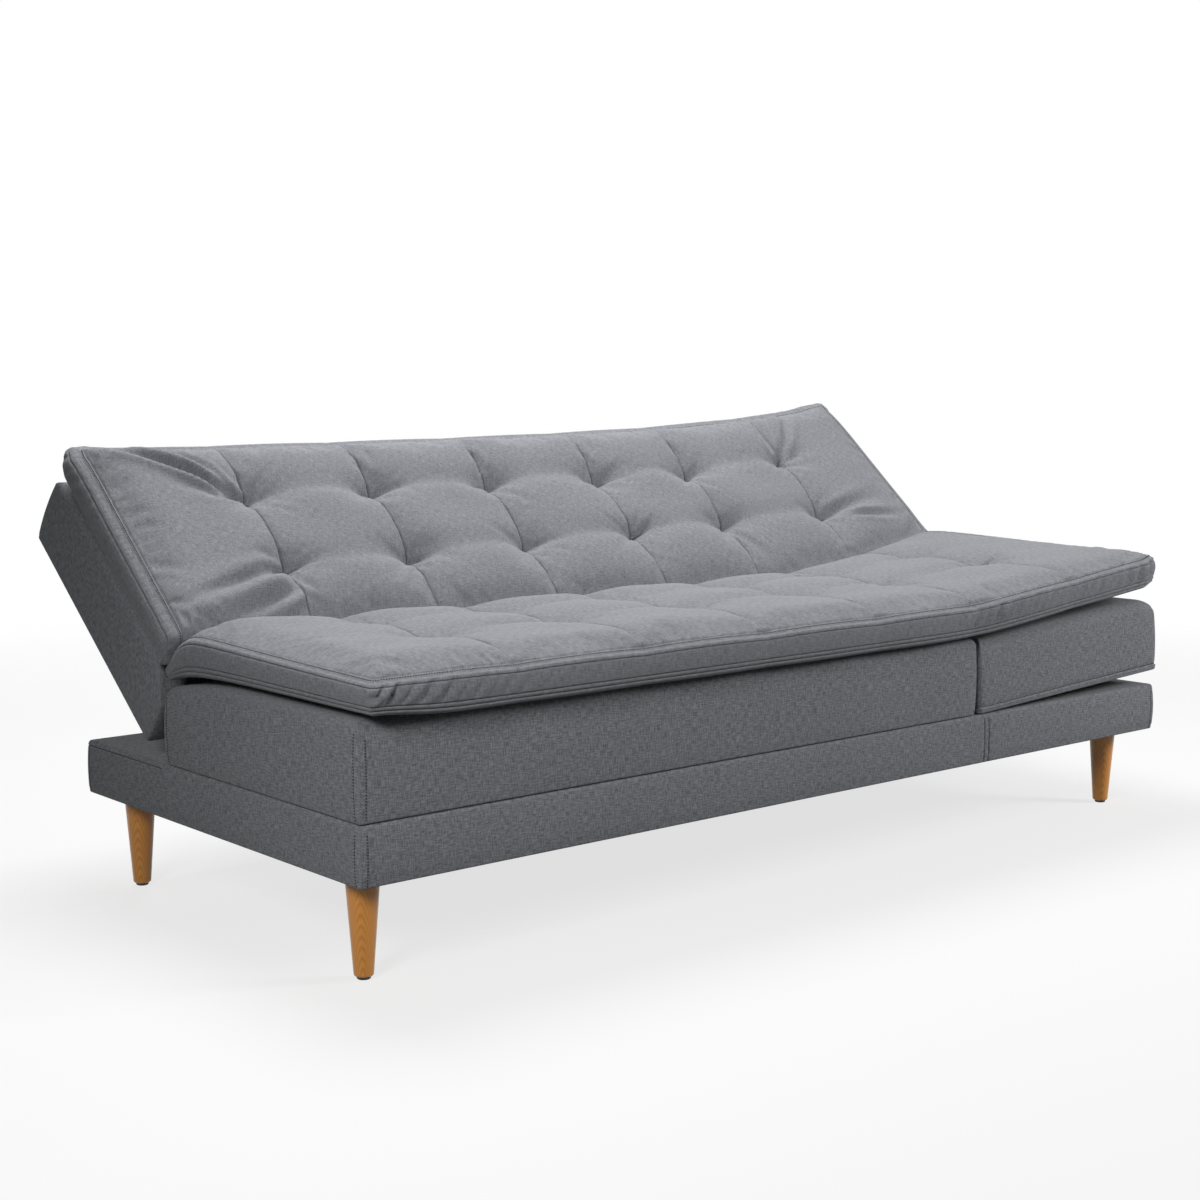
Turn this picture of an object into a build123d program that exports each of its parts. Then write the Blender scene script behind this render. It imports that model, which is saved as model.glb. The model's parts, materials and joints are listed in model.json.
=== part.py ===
from build123d import *
import os
from math import cos, hypot, radians, sin, tan

# Sofa bed: a padded base on four turned legs, a fixed seat, a seat end that lifts as a headrest,
# a click-clack back and a tufted topper pad folded over both.
# Lengths are millimetres and angles degrees. X runs along the seat, Y to the rear and Z up.
# The origin is on the floor, under the middle of the whole sofa.

# Base and legs
base_length = 1817.0
base_depth = 803.0
base_height = 88.0
base_corner = 12.0
base_edge = 9.0
base_cross_rail_count = 5
leg_length = 146.0
leg_top_diameter = 50.0
leg_foot_diameter = 28.0
leg_foot_round = 4.0
leg_inset_x = 53.0
leg_inset_y = 76.0
leg_bolt_diameter = 8.0
leg_bolt_in_leg = 40.0
leg_bolt_in_block = 45.0
corner_block_x = 90.0
corner_block_y = 115.0
glide_height = 4.0
glide_diameter = 20.0
glide_edge = 1.2
glide_stem_diameter = 5.0
glide_stem_length = 12.0

# Cloth, timber and fits
cover_cloth = 2.0
lining_cloth = 1.0
rail_thickness = 25.0
deck_thickness = 9.0
web_thickness = 2.0
web_width = 50.0
play = 0.2
pin_play = 0.05
slot_play = 2.0

# Seat, fixed to the base, and the seat end that lifts
seat_length = 1280.0
seat_depth = 535.0
seat_height = 140.0
seat_rail_height = 75.0
seat_corner = 10.0
seat_edge = 12.0
seat_rear_edge = 40.0
seat_cross_rail_count = 4
seat_web_count = 5
split_edge = 25.0
split_gap = 8.0
end_outer_edge = 28.0
end_step = 35.0
end_pivot_drop = 20.0
end_rest_tilt = 2.9
end_highest_tilt = 25.0
end_web_count = 4

# Back, hinged behind the seat
back_length = 473.0
back_thickness = 130.0
back_pivot_depth = 61.0
back_pivot_gap = 17.0
back_rest_angle = 38.5
back_rail_height = 75.0
back_bevel = 50.0
back_bevel_start = 12.0
back_edge = 14.0
back_corner = 10.0
back_web_count = 5

# Click-clack hinges of the back
back_hinge_inset = 268.5
arm_thickness = 5.0
hub_radius = 13.0
ratchet_radius = 16.0
ratchet_thickness = 10.0
pin_diameter = 8.0
pin_head_diameter = 15.0
pin_head_height = 3.0
bracket_thickness = 4.0
bracket_width = 70.0
bracket_height = 58.0
bracket_floor_gap = 8.0
ear_root_height = 20.0
back_arm_start = 45.0
back_arm_reach = 180.0
back_arm_width = 24.0
back_arm_drop = 20.0

# Ratchet hinges of the lifting end
end_hub_radius = 12.0
end_ratchet_radius = 13.0
end_arm_start = 85.0
end_arm_reach = 170.0
end_arm_width = 26.0
end_arm_drop = 65.0

# Bolts and screws
bracket_bolt_diameter = 8.0
bracket_bolt_length = 26.0
bracket_bolt_spacing = 44.0
bracket_bolt_head_diameter = 14.0
bracket_bolt_head_height = 4.0
screw_diameter = 5.0
screw_length = 20.0
screw_spacing = 50.0
screw_head_diameter = 10.0
screw_head_height = 3.0

# Topper pad: its heights are above the surface that it lies on
pad_overhang = 28.0
pad_side_inset = 3.0
pad_lie = 0.3
pad_crown = 74.0
pad_row_height = 60.0
pad_edge_height = 60.0
pad_seam_crown = 56.0
pad_tuft_height = 47.0
pad_seam_edge = 54.0
pad_end_crown = 66.0
pad_crease_height = 46.0
pad_lower_seam = 17.0
pad_tuck = 14.0
pad_draw = 6.0
pad_crease_depth = 507.0
pad_crease_slope = 8.0
pad_end_slack = 3.0
pad_top = 486.0
pad_row_pitch = 167.0
pad_ear_rise = 52.0
pad_fold_start = 34.0
pad_fold_clear = 2.0
fold_spare_angle = 1.0
seat_pad_panels = 5
end_pad_panels = 2
back_pad_panels = 7
seat_pad_rows = 3
back_pad_rows = 2

# Levels
base_z = glide_height + leg_length
base_top = base_z + base_height
seat_top = base_top + seat_height
back_pivot_z = seat_top - back_pivot_depth
end_pivot_z = seat_top - end_pivot_drop
back_rear = back_pivot_depth - back_thickness

# Places along the depth: the sofa is centred between the pad's front and the back's rear edge
rest = radians(back_rest_angle)
pivot_depth = seat_depth + back_pivot_gap
rear_reach = pivot_depth + back_length * cos(rest) - back_rear * sin(rest)
front_y = (pad_overhang - rear_reach) / 2
rear_y = front_y + base_depth
seat_rear_y = front_y + seat_depth
end_rear_y = seat_rear_y - end_step
back_pivot_y = front_y + pivot_depth

# Places along the length
left_x = -base_length / 2
right_x = base_length / 2
seat_right_x = left_x + seat_length
split_x = seat_right_x + split_gap / 2
end_length = right_x - split_x
back_hinge_x = right_x - back_hinge_inset

# Frames: the lifting end turns about the split, the back about its click-clack pins
tilt = radians(end_rest_tilt)
seat_frame = Plane.XY
split_frame = Plane(origin=(split_x, 0, end_pivot_z))
end_frame = Plane(
    origin=(split_x, 0, end_pivot_z),
    x_dir=(cos(tilt), 0, sin(tilt)),
    z_dir=(-sin(tilt), 0, cos(tilt)),
)
back_frame = Plane(
    origin=(0, back_pivot_y, back_pivot_z),
    x_dir=(1, 0, 0),
    z_dir=(0, -sin(rest), cos(rest)),
)

# Timber faces that several pieces meet
inner = cover_cloth + play
front_inner_y = front_y + inner + rail_thickness
rear_inner_y = rear_y - inner - rail_thickness
seat_rear_inner_y = seat_rear_y - inner - rail_thickness
end_rear_inner_y = end_rear_y - inner - rail_thickness

os.makedirs("parts", exist_ok=True)


def save(builder, name):
    """Label a finished piece and write it under its own name."""
    builder.part.label = name
    export_step(builder.part, f"parts/{name}.step")


def in_frame(frame, plane):
    """The plane that has the given place in a frame."""
    return Plane(frame.location * plane.location)


def spread(first, last, count):
    """Evenly spaced places from first to last."""
    return [first + (last - first) * step / (count - 1) for step in range(count)]


def box(frame, low, high, mode=Mode.ADD):
    """Box between two opposite corners of a frame."""
    size = [top - bottom for bottom, top in zip(low, high)]
    middle = [(top + bottom) / 2 for bottom, top in zip(low, high)]
    with Locations(frame.location * Location(middle)):
        Box(*size, mode=mode)


def drill(planes, diameter, depth):
    """Round holes into the part being built, one from each plane along its normal."""
    for plane in planes:
        with BuildSketch(plane) as hole:
            Circle(diameter / 2)
        extrude(hole.sketch, amount=depth, mode=Mode.SUBTRACT)


def fasteners(planes, diameter, length, head_diameter, head_height):
    """Screws: each shank runs along its plane's normal, and each head stands behind the plane."""
    for plane in planes:
        with BuildSketch(plane) as shank:
            Circle(diameter / 2)
        extrude(shank.sketch, amount=length)
        with BuildSketch(plane) as head:
            Circle(head_diameter / 2)
        extrude(head.sketch, amount=-head_height)


def arch(low, high, low_radius, high_radius):
    """Upright rectangle with its two upper corners rounded."""
    (left, bottom), (right, top) = low, high
    corners = ((left, bottom), (right, bottom), (right, top), (left, top))
    with BuildSketch() as face:
        with BuildLine():
            FilletPolyline(*corners, radius=[0, 0, high_radius, low_radius], close=True)
        make_face()
    return face.sketch


def soft_block(frame, low, high, inset, corner, front, rear, left, right):
    """Upholstered block, drawn in by inset on all but its lower side.

    It is what its side outline, its front outline and its plan have in common, so that each of
    its four upper edges has a radius of its own.
    """
    x0, y0, z0 = low[0] + inset, low[1] + inset, low[2]
    x1, y1, z1 = high[0] - inset, high[1] - inset, high[2] - inset
    with BuildPart() as block:
        with BuildSketch(in_frame(frame, Plane.YZ.offset(x0))):
            add(arch((y0, z0), (y1, z1), front - inset, rear - inset))
        extrude(amount=x1 - x0)
        with BuildSketch(in_frame(frame, Plane.XZ.offset(-y1))):
            add(arch((x0, z0), (x1, z1), left - inset, right - inset))
        extrude(amount=y1 - y0, mode=Mode.INTERSECT)
        with BuildSketch(in_frame(frame, Plane.XY.offset(z0))):
            with Locations(((x0 + x1) / 2, (y0 + y1) / 2)):
                RectangleRounded(x1 - x0, y1 - y0, corner - inset)
        extrude(amount=z1 - z0, mode=Mode.INTERSECT)
    return block.part


def back_block(inset):
    """The back, drawn in by inset on all but its rear side.

    Its section is bevelled below the front, which clears the seat as the back folds up.
    """
    slope = (back_pivot_depth - back_bevel_start) / back_bevel
    lean = hypot(1, slope)
    low, high = inset, back_length - inset
    front = back_pivot_depth - inset
    bevel_low = back_bevel_start + slope * low - inset * lean
    bevel_high = (front - back_bevel_start + inset * lean) / slope
    corners = ((low, back_rear), (high, back_rear), (high, front), (bevel_high, front), (low, bevel_low))
    round_edge = back_edge - inset
    with BuildPart() as block:
        with BuildSketch(in_frame(back_frame, Plane.YZ.offset(left_x + inset))):
            with BuildLine():
                FilletPolyline(*corners, radius=[0, 0, round_edge, round_edge, round_edge], close=True)
            make_face()
        extrude(amount=base_length - 2 * inset)
        with BuildSketch(in_frame(back_frame, Plane.XZ.offset(-high))):
            outline_low = (left_x + inset, back_rear)
            add(arch(outline_low, (right_x - inset, front), back_corner - inset, back_corner - inset))
        extrude(amount=high - low, mode=Mode.INTERSECT)
    return block.part


def slice_of(core, frame, low, high):
    """The stretch of an upholstered core that lies between two corners of its frame."""
    with BuildPart() as piece:
        add(core)
        box(frame, low, high, mode=Mode.INTERSECT)
    return piece.part


# Base: cover, lining, deck, rails and corner blocks
base_low = (left_x, front_y, base_z)
base_high = (right_x, rear_y, base_top)
base_radii = (base_corner, base_edge, base_edge, base_edge, base_edge)
base_core = soft_block(seat_frame, base_low, base_high, inner, *base_radii)
lining_top = base_z + lining_cloth
deck_bottom = base_top - inner - deck_thickness

leg_axes = {
    "front_left": (left_x + leg_inset_x, front_y + leg_inset_y),
    "front_right": (right_x - leg_inset_x, front_y + leg_inset_y),
    "rear_left": (left_x + leg_inset_x, rear_y - leg_inset_y),
    "rear_right": (right_x - leg_inset_x, rear_y - leg_inset_y),
}
leg_tops = [Plane(origin=(x, y, base_z)) for x, y in leg_axes.values()]
bolt_hole = leg_bolt_diameter + 2 * play

with BuildPart() as base_cover:
    add(soft_block(seat_frame, base_low, base_high, 0, *base_radii))
    add(soft_block(seat_frame, base_low, base_high, cover_cloth, *base_radii), mode=Mode.SUBTRACT)
save(base_cover, "base_cover")

with BuildPart() as base_lining:
    add(slice_of(base_core, seat_frame, base_low, (right_x, rear_y, lining_top)))
    drill(leg_tops, bolt_hole, lining_cloth)
save(base_lining, "base_lining")

with BuildPart() as base_deck:
    add(slice_of(base_core, seat_frame, (left_x, front_y, deck_bottom), base_high))
save(base_deck, "base_deck")

with BuildPart() as base_front_rail:
    rail_high = (right_x, front_inner_y, deck_bottom)
    add(slice_of(base_core, seat_frame, (left_x, front_y, lining_top), rail_high))
save(base_front_rail, "base_front_rail")

with BuildPart() as base_rear_rail:
    rail_low = (left_x, rear_inner_y, lining_top)
    add(slice_of(base_core, seat_frame, rail_low, (right_x, rear_y, deck_bottom)))
save(base_rear_rail, "base_rear_rail")

with BuildPart() as base_cross_rails:
    for start in spread(left_x + inner, right_x - inner - rail_thickness, base_cross_rail_count):
        rail_low = (start, front_inner_y, lining_top)
        box(seat_frame, rail_low, (start + rail_thickness, rear_inner_y, deck_bottom))
save(base_cross_rails, "base_cross_rails")

with BuildPart() as corner_blocks:
    wall_x = right_x - inner - rail_thickness
    for x_low in (-wall_x, wall_x - corner_block_x):
        for y_low in (front_inner_y, rear_inner_y - corner_block_y):
            block_high = (x_low + corner_block_x, y_low + corner_block_y, deck_bottom)
            box(seat_frame, (x_low, y_low, lining_top), block_high)
    drill(leg_tops, bolt_hole, lining_cloth + leg_bolt_in_block + play)
save(corner_blocks, "corner_blocks")

with BuildPart() as leg_bolts:
    for plane in leg_tops:
        with BuildSketch(plane.offset(-leg_bolt_in_leg)):
            Circle(leg_bolt_diameter / 2)
        extrude(amount=leg_bolt_in_leg + lining_cloth + leg_bolt_in_block)
save(leg_bolts, "leg_bolts")

# Turned legs, with a nailed glide under each
leg_profile = (
    (0, glide_height),
    (leg_foot_diameter / 2, glide_height),
    (leg_top_diameter / 2, base_z),
    (0, base_z),
)
for corner_name, (leg_x, leg_y) in leg_axes.items():
    foot = Plane(origin=(leg_x, leg_y, glide_height))
    with BuildPart() as leg:
        with BuildSketch(Plane(origin=(leg_x, leg_y, 0), x_dir=(1, 0, 0), z_dir=(0, -1, 0))):
            with BuildLine():
                FilletPolyline(*leg_profile, radius=[0, leg_foot_round, 0, 0], close=True)
            make_face()
        revolve(axis=Axis((leg_x, leg_y, 0), (0, 0, 1)))
        leg_socket = Plane(origin=(leg_x, leg_y, base_z), z_dir=(0, 0, -1))
        drill([leg_socket], bolt_hole, leg_bolt_in_leg + play)
        drill([foot], glide_stem_diameter + 2 * play, glide_stem_length + play)
    save(leg, f"leg_{corner_name}")

    with BuildPart() as glide:
        with BuildSketch(foot):
            Circle(glide_diameter / 2)
        extrude(amount=-glide_height)
        chamfer(glide.edges().group_by(Axis.Z)[0], glide_edge)
        with BuildSketch(foot):
            Circle(glide_stem_diameter / 2)
        extrude(amount=glide_stem_length)
    save(glide, f"glide_{corner_name}")

# Hinges of the lifting end: where their arms stand along the depth
hinge_stack = arm_thickness + play + ratchet_thickness
seat_arm_spans = {
    "front": (front_inner_y, front_inner_y + arm_thickness),
    "rear": (end_rear_inner_y - hinge_stack - arm_thickness, end_rear_inner_y - hinge_stack),
}
end_arm_spans = {
    "front": (front_inner_y + hinge_stack, front_inner_y + hinge_stack + arm_thickness),
    "rear": (end_rear_inner_y - arm_thickness, end_rear_inner_y),
}
drum_spans = {
    "front": (front_inner_y + arm_thickness + play, front_inner_y + hinge_stack),
    "rear": (end_rear_inner_y - arm_thickness - ratchet_thickness, end_rear_inner_y - arm_thickness),
}
head_room = pin_head_height + play + slot_play
slot_spans = (
    (seat_arm_spans["front"][0] - head_room, end_arm_spans["front"][1] + head_room),
    (seat_arm_spans["rear"][0] - head_room, end_arm_spans["rear"][1] + head_room),
)
slot_top = end_ratchet_radius + slot_play
last_web_y = slot_spans[1][0] - web_width
tab_middle = (end_arm_start + end_arm_reach) / 2
screw_places = (tab_middle - screw_spacing / 2, tab_middle + screw_spacing / 2)
screw_hole = screw_diameter + 2 * play
long_screw = screw_length + hinge_stack


def tab_screws(frame, side, y, toward):
    """Screw planes on the tab of an end hinge's arm, on the face at y, driven along toward."""
    places = [(side * place, y, -end_arm_drop) for place in screw_places]
    return [in_frame(frame, Plane(origin=p, x_dir=(1, 0, 0), z_dir=(0, toward, 0))) for p in places]


seat_screws = {
    "front": tab_screws(split_frame, -1, seat_arm_spans["front"][1], -1),
    "rear": tab_screws(split_frame, -1, seat_arm_spans["rear"][0], 1),
}
end_screws = {
    "front": tab_screws(end_frame, 1, end_arm_spans["front"][1], -1),
    "rear": tab_screws(end_frame, 1, end_arm_spans["rear"][0], 1),
}

# Seat: cover, foam, webbing and frame
seat_low = (left_x, front_y, base_top)
seat_high = (seat_right_x, seat_rear_y, seat_top)
seat_radii = (seat_corner, seat_edge, seat_rear_edge, seat_edge, split_edge)
seat_rail_top = base_top + seat_rail_height
seat_web_top = seat_rail_top + web_thickness

bracket_low_z = base_top + bracket_floor_gap
bracket_face_y = seat_rear_y + bracket_thickness
bracket_top_z = bracket_low_z + bracket_height
bolt_z = bracket_low_z + bracket_height / 2
bolt_hub_places = [
    side * back_hinge_x + offset * bracket_bolt_spacing / 2 for side in (-1, 1) for offset in (-1, 1)
]
bracket_bolt_planes = [
    Plane(origin=(x, bracket_face_y, bolt_z), x_dir=(1, 0, 0), z_dir=(0, -1, 0)) for x in bolt_hub_places
]
bracket_bolt_hole = bracket_bolt_diameter + 2 * play

with BuildPart() as seat_slots:
    for low_y, high_y in slot_spans:
        slot_low = (split_x - end_arm_reach, low_y, seat_rail_top)
        box(seat_frame, slot_low, (split_x, high_y, end_pivot_z + slot_top))

with BuildPart() as seat_core:
    add(soft_block(seat_frame, seat_low, seat_high, inner, *seat_radii))
    add(seat_slots.part, mode=Mode.SUBTRACT)

with BuildPart() as seat_cover:
    add(soft_block(seat_frame, seat_low, seat_high, 0, *seat_radii))
    add(soft_block(seat_frame, seat_low, seat_high, cover_cloth, *seat_radii), mode=Mode.SUBTRACT)
    add(seat_slots.part, mode=Mode.SUBTRACT)
    drill(bracket_bolt_planes, bracket_bolt_hole, bracket_thickness + inner)
save(seat_cover, "seat_cover")

with BuildPart() as seat_foam:
    add(slice_of(seat_core.part, seat_frame, (left_x, front_y, seat_web_top), seat_high))
save(seat_foam, "seat_foam")

with BuildPart() as seat_webbing:
    for place in spread(front_inner_y + web_width, last_web_y, seat_web_count):
        web_high = (seat_right_x - inner, place + web_width, seat_web_top)
        box(seat_frame, (left_x + inner, place, seat_rail_top), web_high)
save(seat_webbing, "seat_webbing")

with BuildPart() as seat_front_rail:
    rail_high = (seat_right_x, front_inner_y, seat_rail_top)
    add(slice_of(seat_core.part, seat_frame, seat_low, rail_high))
    drill(seat_screws["front"], screw_hole, screw_length + play)
save(seat_front_rail, "seat_front_rail")

with BuildPart() as seat_rear_rail:
    rail_low = (left_x, seat_rear_inner_y, base_top)
    add(slice_of(seat_core.part, seat_frame, rail_low, (seat_right_x, seat_rear_y, seat_rail_top)))
    drill(bracket_bolt_planes, bracket_bolt_hole, bracket_bolt_length + play)
save(seat_rear_rail, "seat_rear_rail")

with BuildPart() as seat_cross_rails:
    last_rail_x = seat_right_x - inner - rail_thickness
    for start in spread(left_x + inner, last_rail_x, seat_cross_rail_count):
        rail_high = (start + rail_thickness, seat_rear_inner_y, seat_rail_top)
        box(seat_frame, (start, front_inner_y, base_top), rail_high)
save(seat_cross_rails, "seat_cross_rails")

# Block that carries the rear hinge of the lifting end off the seat's rear rail
with BuildPart() as seat_hinge_block:
    block_low = (-end_arm_reach, seat_arm_spans["rear"][1], -end_arm_drop - end_arm_width / 2)
    block_high = (-end_arm_start, seat_rear_inner_y, -end_arm_drop + end_arm_width / 2)
    box(split_frame, block_low, block_high)
    drill(seat_screws["rear"], screw_hole, screw_length + play)
save(seat_hinge_block, "seat_hinge_block")

# Lifting end: cover, lining, foam, webbing and frame, in its own tilted frame
end_left = split_gap / 2
end_bottom = base_top - end_pivot_z
end_low = (end_left, front_y, end_bottom)
end_high = (end_length, end_rear_y, end_pivot_drop)
end_radii = (seat_corner, seat_edge, seat_rear_edge, split_edge, end_outer_edge)
end_lining_top = end_bottom + lining_cloth
end_rail_top = end_bottom + seat_rail_height
end_web_top = end_rail_top + web_thickness

with BuildPart() as end_slots:
    for low_y, high_y in slot_spans:
        box(end_frame, (0, low_y, end_rail_top), (end_arm_reach, high_y, slot_top))

with BuildPart() as end_core:
    add(soft_block(end_frame, end_low, end_high, inner, *end_radii))
    add(end_slots.part, mode=Mode.SUBTRACT)

with BuildPart() as end_cover:
    add(soft_block(end_frame, end_low, end_high, 0, *end_radii))
    add(soft_block(end_frame, end_low, end_high, cover_cloth, *end_radii), mode=Mode.SUBTRACT)
    add(end_slots.part, mode=Mode.SUBTRACT)
save(end_cover, "end_cover")

with BuildPart() as end_lining:
    add(slice_of(end_core.part, end_frame, end_low, (end_length, end_rear_y, end_lining_top)))
save(end_lining, "end_lining")

with BuildPart() as end_foam:
    add(slice_of(end_core.part, end_frame, (end_left, front_y, end_web_top), end_high))
save(end_foam, "end_foam")

with BuildPart() as end_webbing:
    for place in spread(front_inner_y + web_width, last_web_y, end_web_count):
        web_high = (end_length - inner, place + web_width, end_web_top)
        box(end_frame, (end_left + inner, place, end_rail_top), web_high)
save(end_webbing, "end_webbing")

with BuildPart() as end_front_rail:
    rail_high = (end_length, front_inner_y, end_rail_top)
    add(slice_of(end_core.part, end_frame, (end_left, front_y, end_lining_top), rail_high))
    drill(end_screws["front"], screw_hole, long_screw + play)
save(end_front_rail, "end_front_rail")

with BuildPart() as end_rear_rail:
    rail_low = (end_left, end_rear_inner_y, end_lining_top)
    add(slice_of(end_core.part, end_frame, rail_low, (end_length, end_rear_y, end_rail_top)))
    drill(end_screws["rear"], screw_hole, screw_length + play)
save(end_rear_rail, "end_rear_rail")

with BuildPart() as end_cross_rails:
    last_rail_x = end_length - inner - rail_thickness
    for start in (end_left + inner, (end_arm_reach + last_rail_x) / 2, last_rail_x):
        rail_high = (start + rail_thickness, end_rear_inner_y, end_rail_top)
        box(end_frame, (start, front_inner_y, end_lining_top), rail_high)
save(end_cross_rails, "end_cross_rails")

# Block that carries the front hinge's lifting arm off the end's front rail
with BuildPart() as end_hinge_block:
    block_low = (end_arm_start, front_inner_y, -end_arm_drop - end_arm_width / 2)
    block_high = (end_arm_reach, end_arm_spans["front"][0], -end_arm_drop + end_arm_width / 2)
    box(end_frame, block_low, block_high)
    drill(end_screws["front"], screw_hole, arm_thickness + hinge_stack)
save(end_hinge_block, "end_hinge_block")


def end_arm(frame, side, span):
    """Flat arm of an end hinge: a round hub at the pin, drawn out to a tab below and aside."""
    with BuildPart() as arm:
        with BuildSketch(in_frame(frame, Plane.XZ.offset(-span[1]))):
            Circle(end_hub_radius)
            with Locations((side * tab_middle, -end_arm_drop)):
                Rectangle(end_arm_reach - end_arm_start, end_arm_width)
            make_hull()
            Circle(pin_diameter / 2 + pin_play, mode=Mode.SUBTRACT)
        extrude(amount=span[1] - span[0])
    return arm.part


# Arms, ratchet drums, pins and screws of the lifting end
for place in ("front", "rear"):
    with BuildPart() as seat_arm:
        add(end_arm(split_frame, -1, seat_arm_spans[place]))
        drill(seat_screws[place], screw_hole, arm_thickness)
    save(seat_arm, f"seat_arm_{place}")

    with BuildPart() as lift_arm:
        add(end_arm(end_frame, 1, end_arm_spans[place]))
        drill(end_screws[place], screw_hole, arm_thickness)
    save(lift_arm, f"end_arm_{place}")

with BuildPart() as end_ratchets:
    for low_y, high_y in drum_spans.values():
        with BuildSketch(in_frame(split_frame, Plane.XZ.offset(-high_y))):
            Circle(end_ratchet_radius)
            Circle(pin_diameter / 2 + pin_play, mode=Mode.SUBTRACT)
        extrude(amount=high_y - low_y)
save(end_ratchets, "end_ratchets")

with BuildPart() as end_hinge_pins:
    for place in ("front", "rear"):
        low_y = seat_arm_spans[place][0]
        high_y = end_arm_spans[place][1] + play
        with BuildSketch(in_frame(split_frame, Plane.XZ.offset(-high_y))):
            Circle(pin_diameter / 2)
        extrude(amount=high_y - low_y)
        for head_y in (low_y, high_y + pin_head_height):
            with BuildSketch(in_frame(split_frame, Plane.XZ.offset(-head_y))):
                Circle(pin_head_diameter / 2)
            extrude(amount=pin_head_height)
save(end_hinge_pins, "end_hinge_pins")

screw_head = (screw_head_diameter, screw_head_height)
with BuildPart() as seat_arm_screws:
    for planes in seat_screws.values():
        fasteners(planes, screw_diameter, screw_length, *screw_head)
save(seat_arm_screws, "seat_arm_screws")

with BuildPart() as end_arm_screws:
    fasteners(end_screws["front"], screw_diameter, long_screw, *screw_head)
    fasteners(end_screws["rear"], screw_diameter, screw_length, *screw_head)
save(end_arm_screws, "end_arm_screws")

# Click-clack hinges: ear, drum and arm stand side by side, outwards from each hinge place
ear_low = back_hinge_x - arm_thickness / 2
ear_high = back_hinge_x + arm_thickness / 2
drum_low = ear_high + play
drum_high = drum_low + ratchet_thickness
arm_high = drum_high + arm_thickness
back_slot_reach = ratchet_radius + slot_play
back_slot_low = bracket_top_z - ear_root_height - back_pivot_z
back_tab_middle = (back_arm_start + back_arm_reach) / 2
back_tab_low = -back_arm_drop - back_arm_width / 2


def mirrored(side, low, high):
    """A span of distances from the middle, on the left for side -1 and on the right for side 1."""
    return sorted((side * low, side * high))


def arm_screw_planes(side):
    """Screw planes on the inner face of a back arm, driven outwards into its stile."""
    places = [back_tab_middle - screw_spacing / 2, back_tab_middle + screw_spacing / 2]
    x = side * drum_high
    direction = (side, 0, 0)
    return [
        in_frame(back_frame, Plane(origin=(x, u, -back_arm_drop), x_dir=(0, 1, 0), z_dir=direction))
        for u in places
    ]


with BuildPart() as back_slots:
    for side in (-1, 1):
        x_low, x_high = mirrored(side, ear_low - head_room, arm_high + head_room)
        slot_low = (x_low, -back_slot_reach, back_slot_low)
        box(back_frame, slot_low, (x_high, back_slot_reach, back_slot_reach))
        x_low, x_high = mirrored(side, drum_high - play, arm_high)
        channel_low = (x_low, 0, back_tab_low - play)
        box(back_frame, channel_low, (x_high, inner + rail_thickness + play, hub_radius + play))

for side, side_name in ((-1, "left"), (1, "right")):
    ear_x_low, ear_x_high = mirrored(side, ear_low, ear_high)
    plate_x = side * back_hinge_x
    with BuildPart() as seat_bracket:
        with BuildSketch(Plane.YZ.offset(ear_x_low)):
            with Locations((back_pivot_y, back_pivot_z)):
                Circle(hub_radius)
            with Locations((seat_rear_y + bracket_thickness / 2, bracket_top_z - ear_root_height / 2)):
                Rectangle(bracket_thickness, ear_root_height)
            make_hull()
            with Locations((back_pivot_y, back_pivot_z)):
                Circle(pin_diameter / 2 + pin_play, mode=Mode.SUBTRACT)
        extrude(amount=ear_x_high - ear_x_low)
        plate_low = (plate_x - bracket_width / 2, seat_rear_y, bracket_low_z)
        plate_high = (plate_x + bracket_width / 2, bracket_face_y, bracket_top_z)
        box(seat_frame, plate_low, plate_high)
        drill(bracket_bolt_planes, bracket_bolt_hole, bracket_thickness)
    save(seat_bracket, f"seat_bracket_{side_name}")

    arm_x_low, arm_x_high = mirrored(side, drum_high, arm_high)
    with BuildPart() as back_arm:
        with BuildSketch(in_frame(back_frame, Plane.YZ.offset(arm_x_low))):
            Circle(hub_radius)
            with Locations((back_tab_middle, -back_arm_drop)):
                Rectangle(back_arm_reach - back_arm_start, back_arm_width)
            make_hull()
            Circle(pin_diameter / 2 + pin_play, mode=Mode.SUBTRACT)
        extrude(amount=arm_x_high - arm_x_low)
        drill(arm_screw_planes(side), screw_hole, arm_thickness)
    save(back_arm, f"back_arm_{side_name}")

with BuildPart() as seat_bracket_bolts:
    bolt_head = (bracket_bolt_head_diameter, bracket_bolt_head_height)
    fasteners(bracket_bolt_planes, bracket_bolt_diameter, bracket_bolt_length, *bolt_head)
save(seat_bracket_bolts, "seat_bracket_bolts")

with BuildPart() as back_arm_screws:
    for side in (-1, 1):
        fasteners(arm_screw_planes(side), screw_diameter, screw_length, *screw_head)
save(back_arm_screws, "back_arm_screws")

with BuildPart() as back_ratchets:
    for side in (-1, 1):
        x_low, x_high = mirrored(side, drum_low, drum_high)
        with BuildSketch(in_frame(back_frame, Plane.YZ.offset(x_low))):
            Circle(ratchet_radius)
            Circle(pin_diameter / 2 + pin_play, mode=Mode.SUBTRACT)
        extrude(amount=x_high - x_low)
save(back_ratchets, "back_ratchets")

with BuildPart() as back_hinge_pins:
    for side in (-1, 1):
        pin_spans = (
            (ear_low, arm_high + play, pin_diameter),
            (ear_low - pin_head_height, ear_low, pin_head_diameter),
            (arm_high + play, arm_high + play + pin_head_height, pin_head_diameter),
        )
        for low, high, diameter in pin_spans:
            x_low, x_high = mirrored(side, low, high)
            with BuildSketch(in_frame(back_frame, Plane.YZ.offset(x_low))):
                Circle(diameter / 2)
            extrude(amount=x_high - x_low)
save(back_hinge_pins, "back_hinge_pins")

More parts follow.
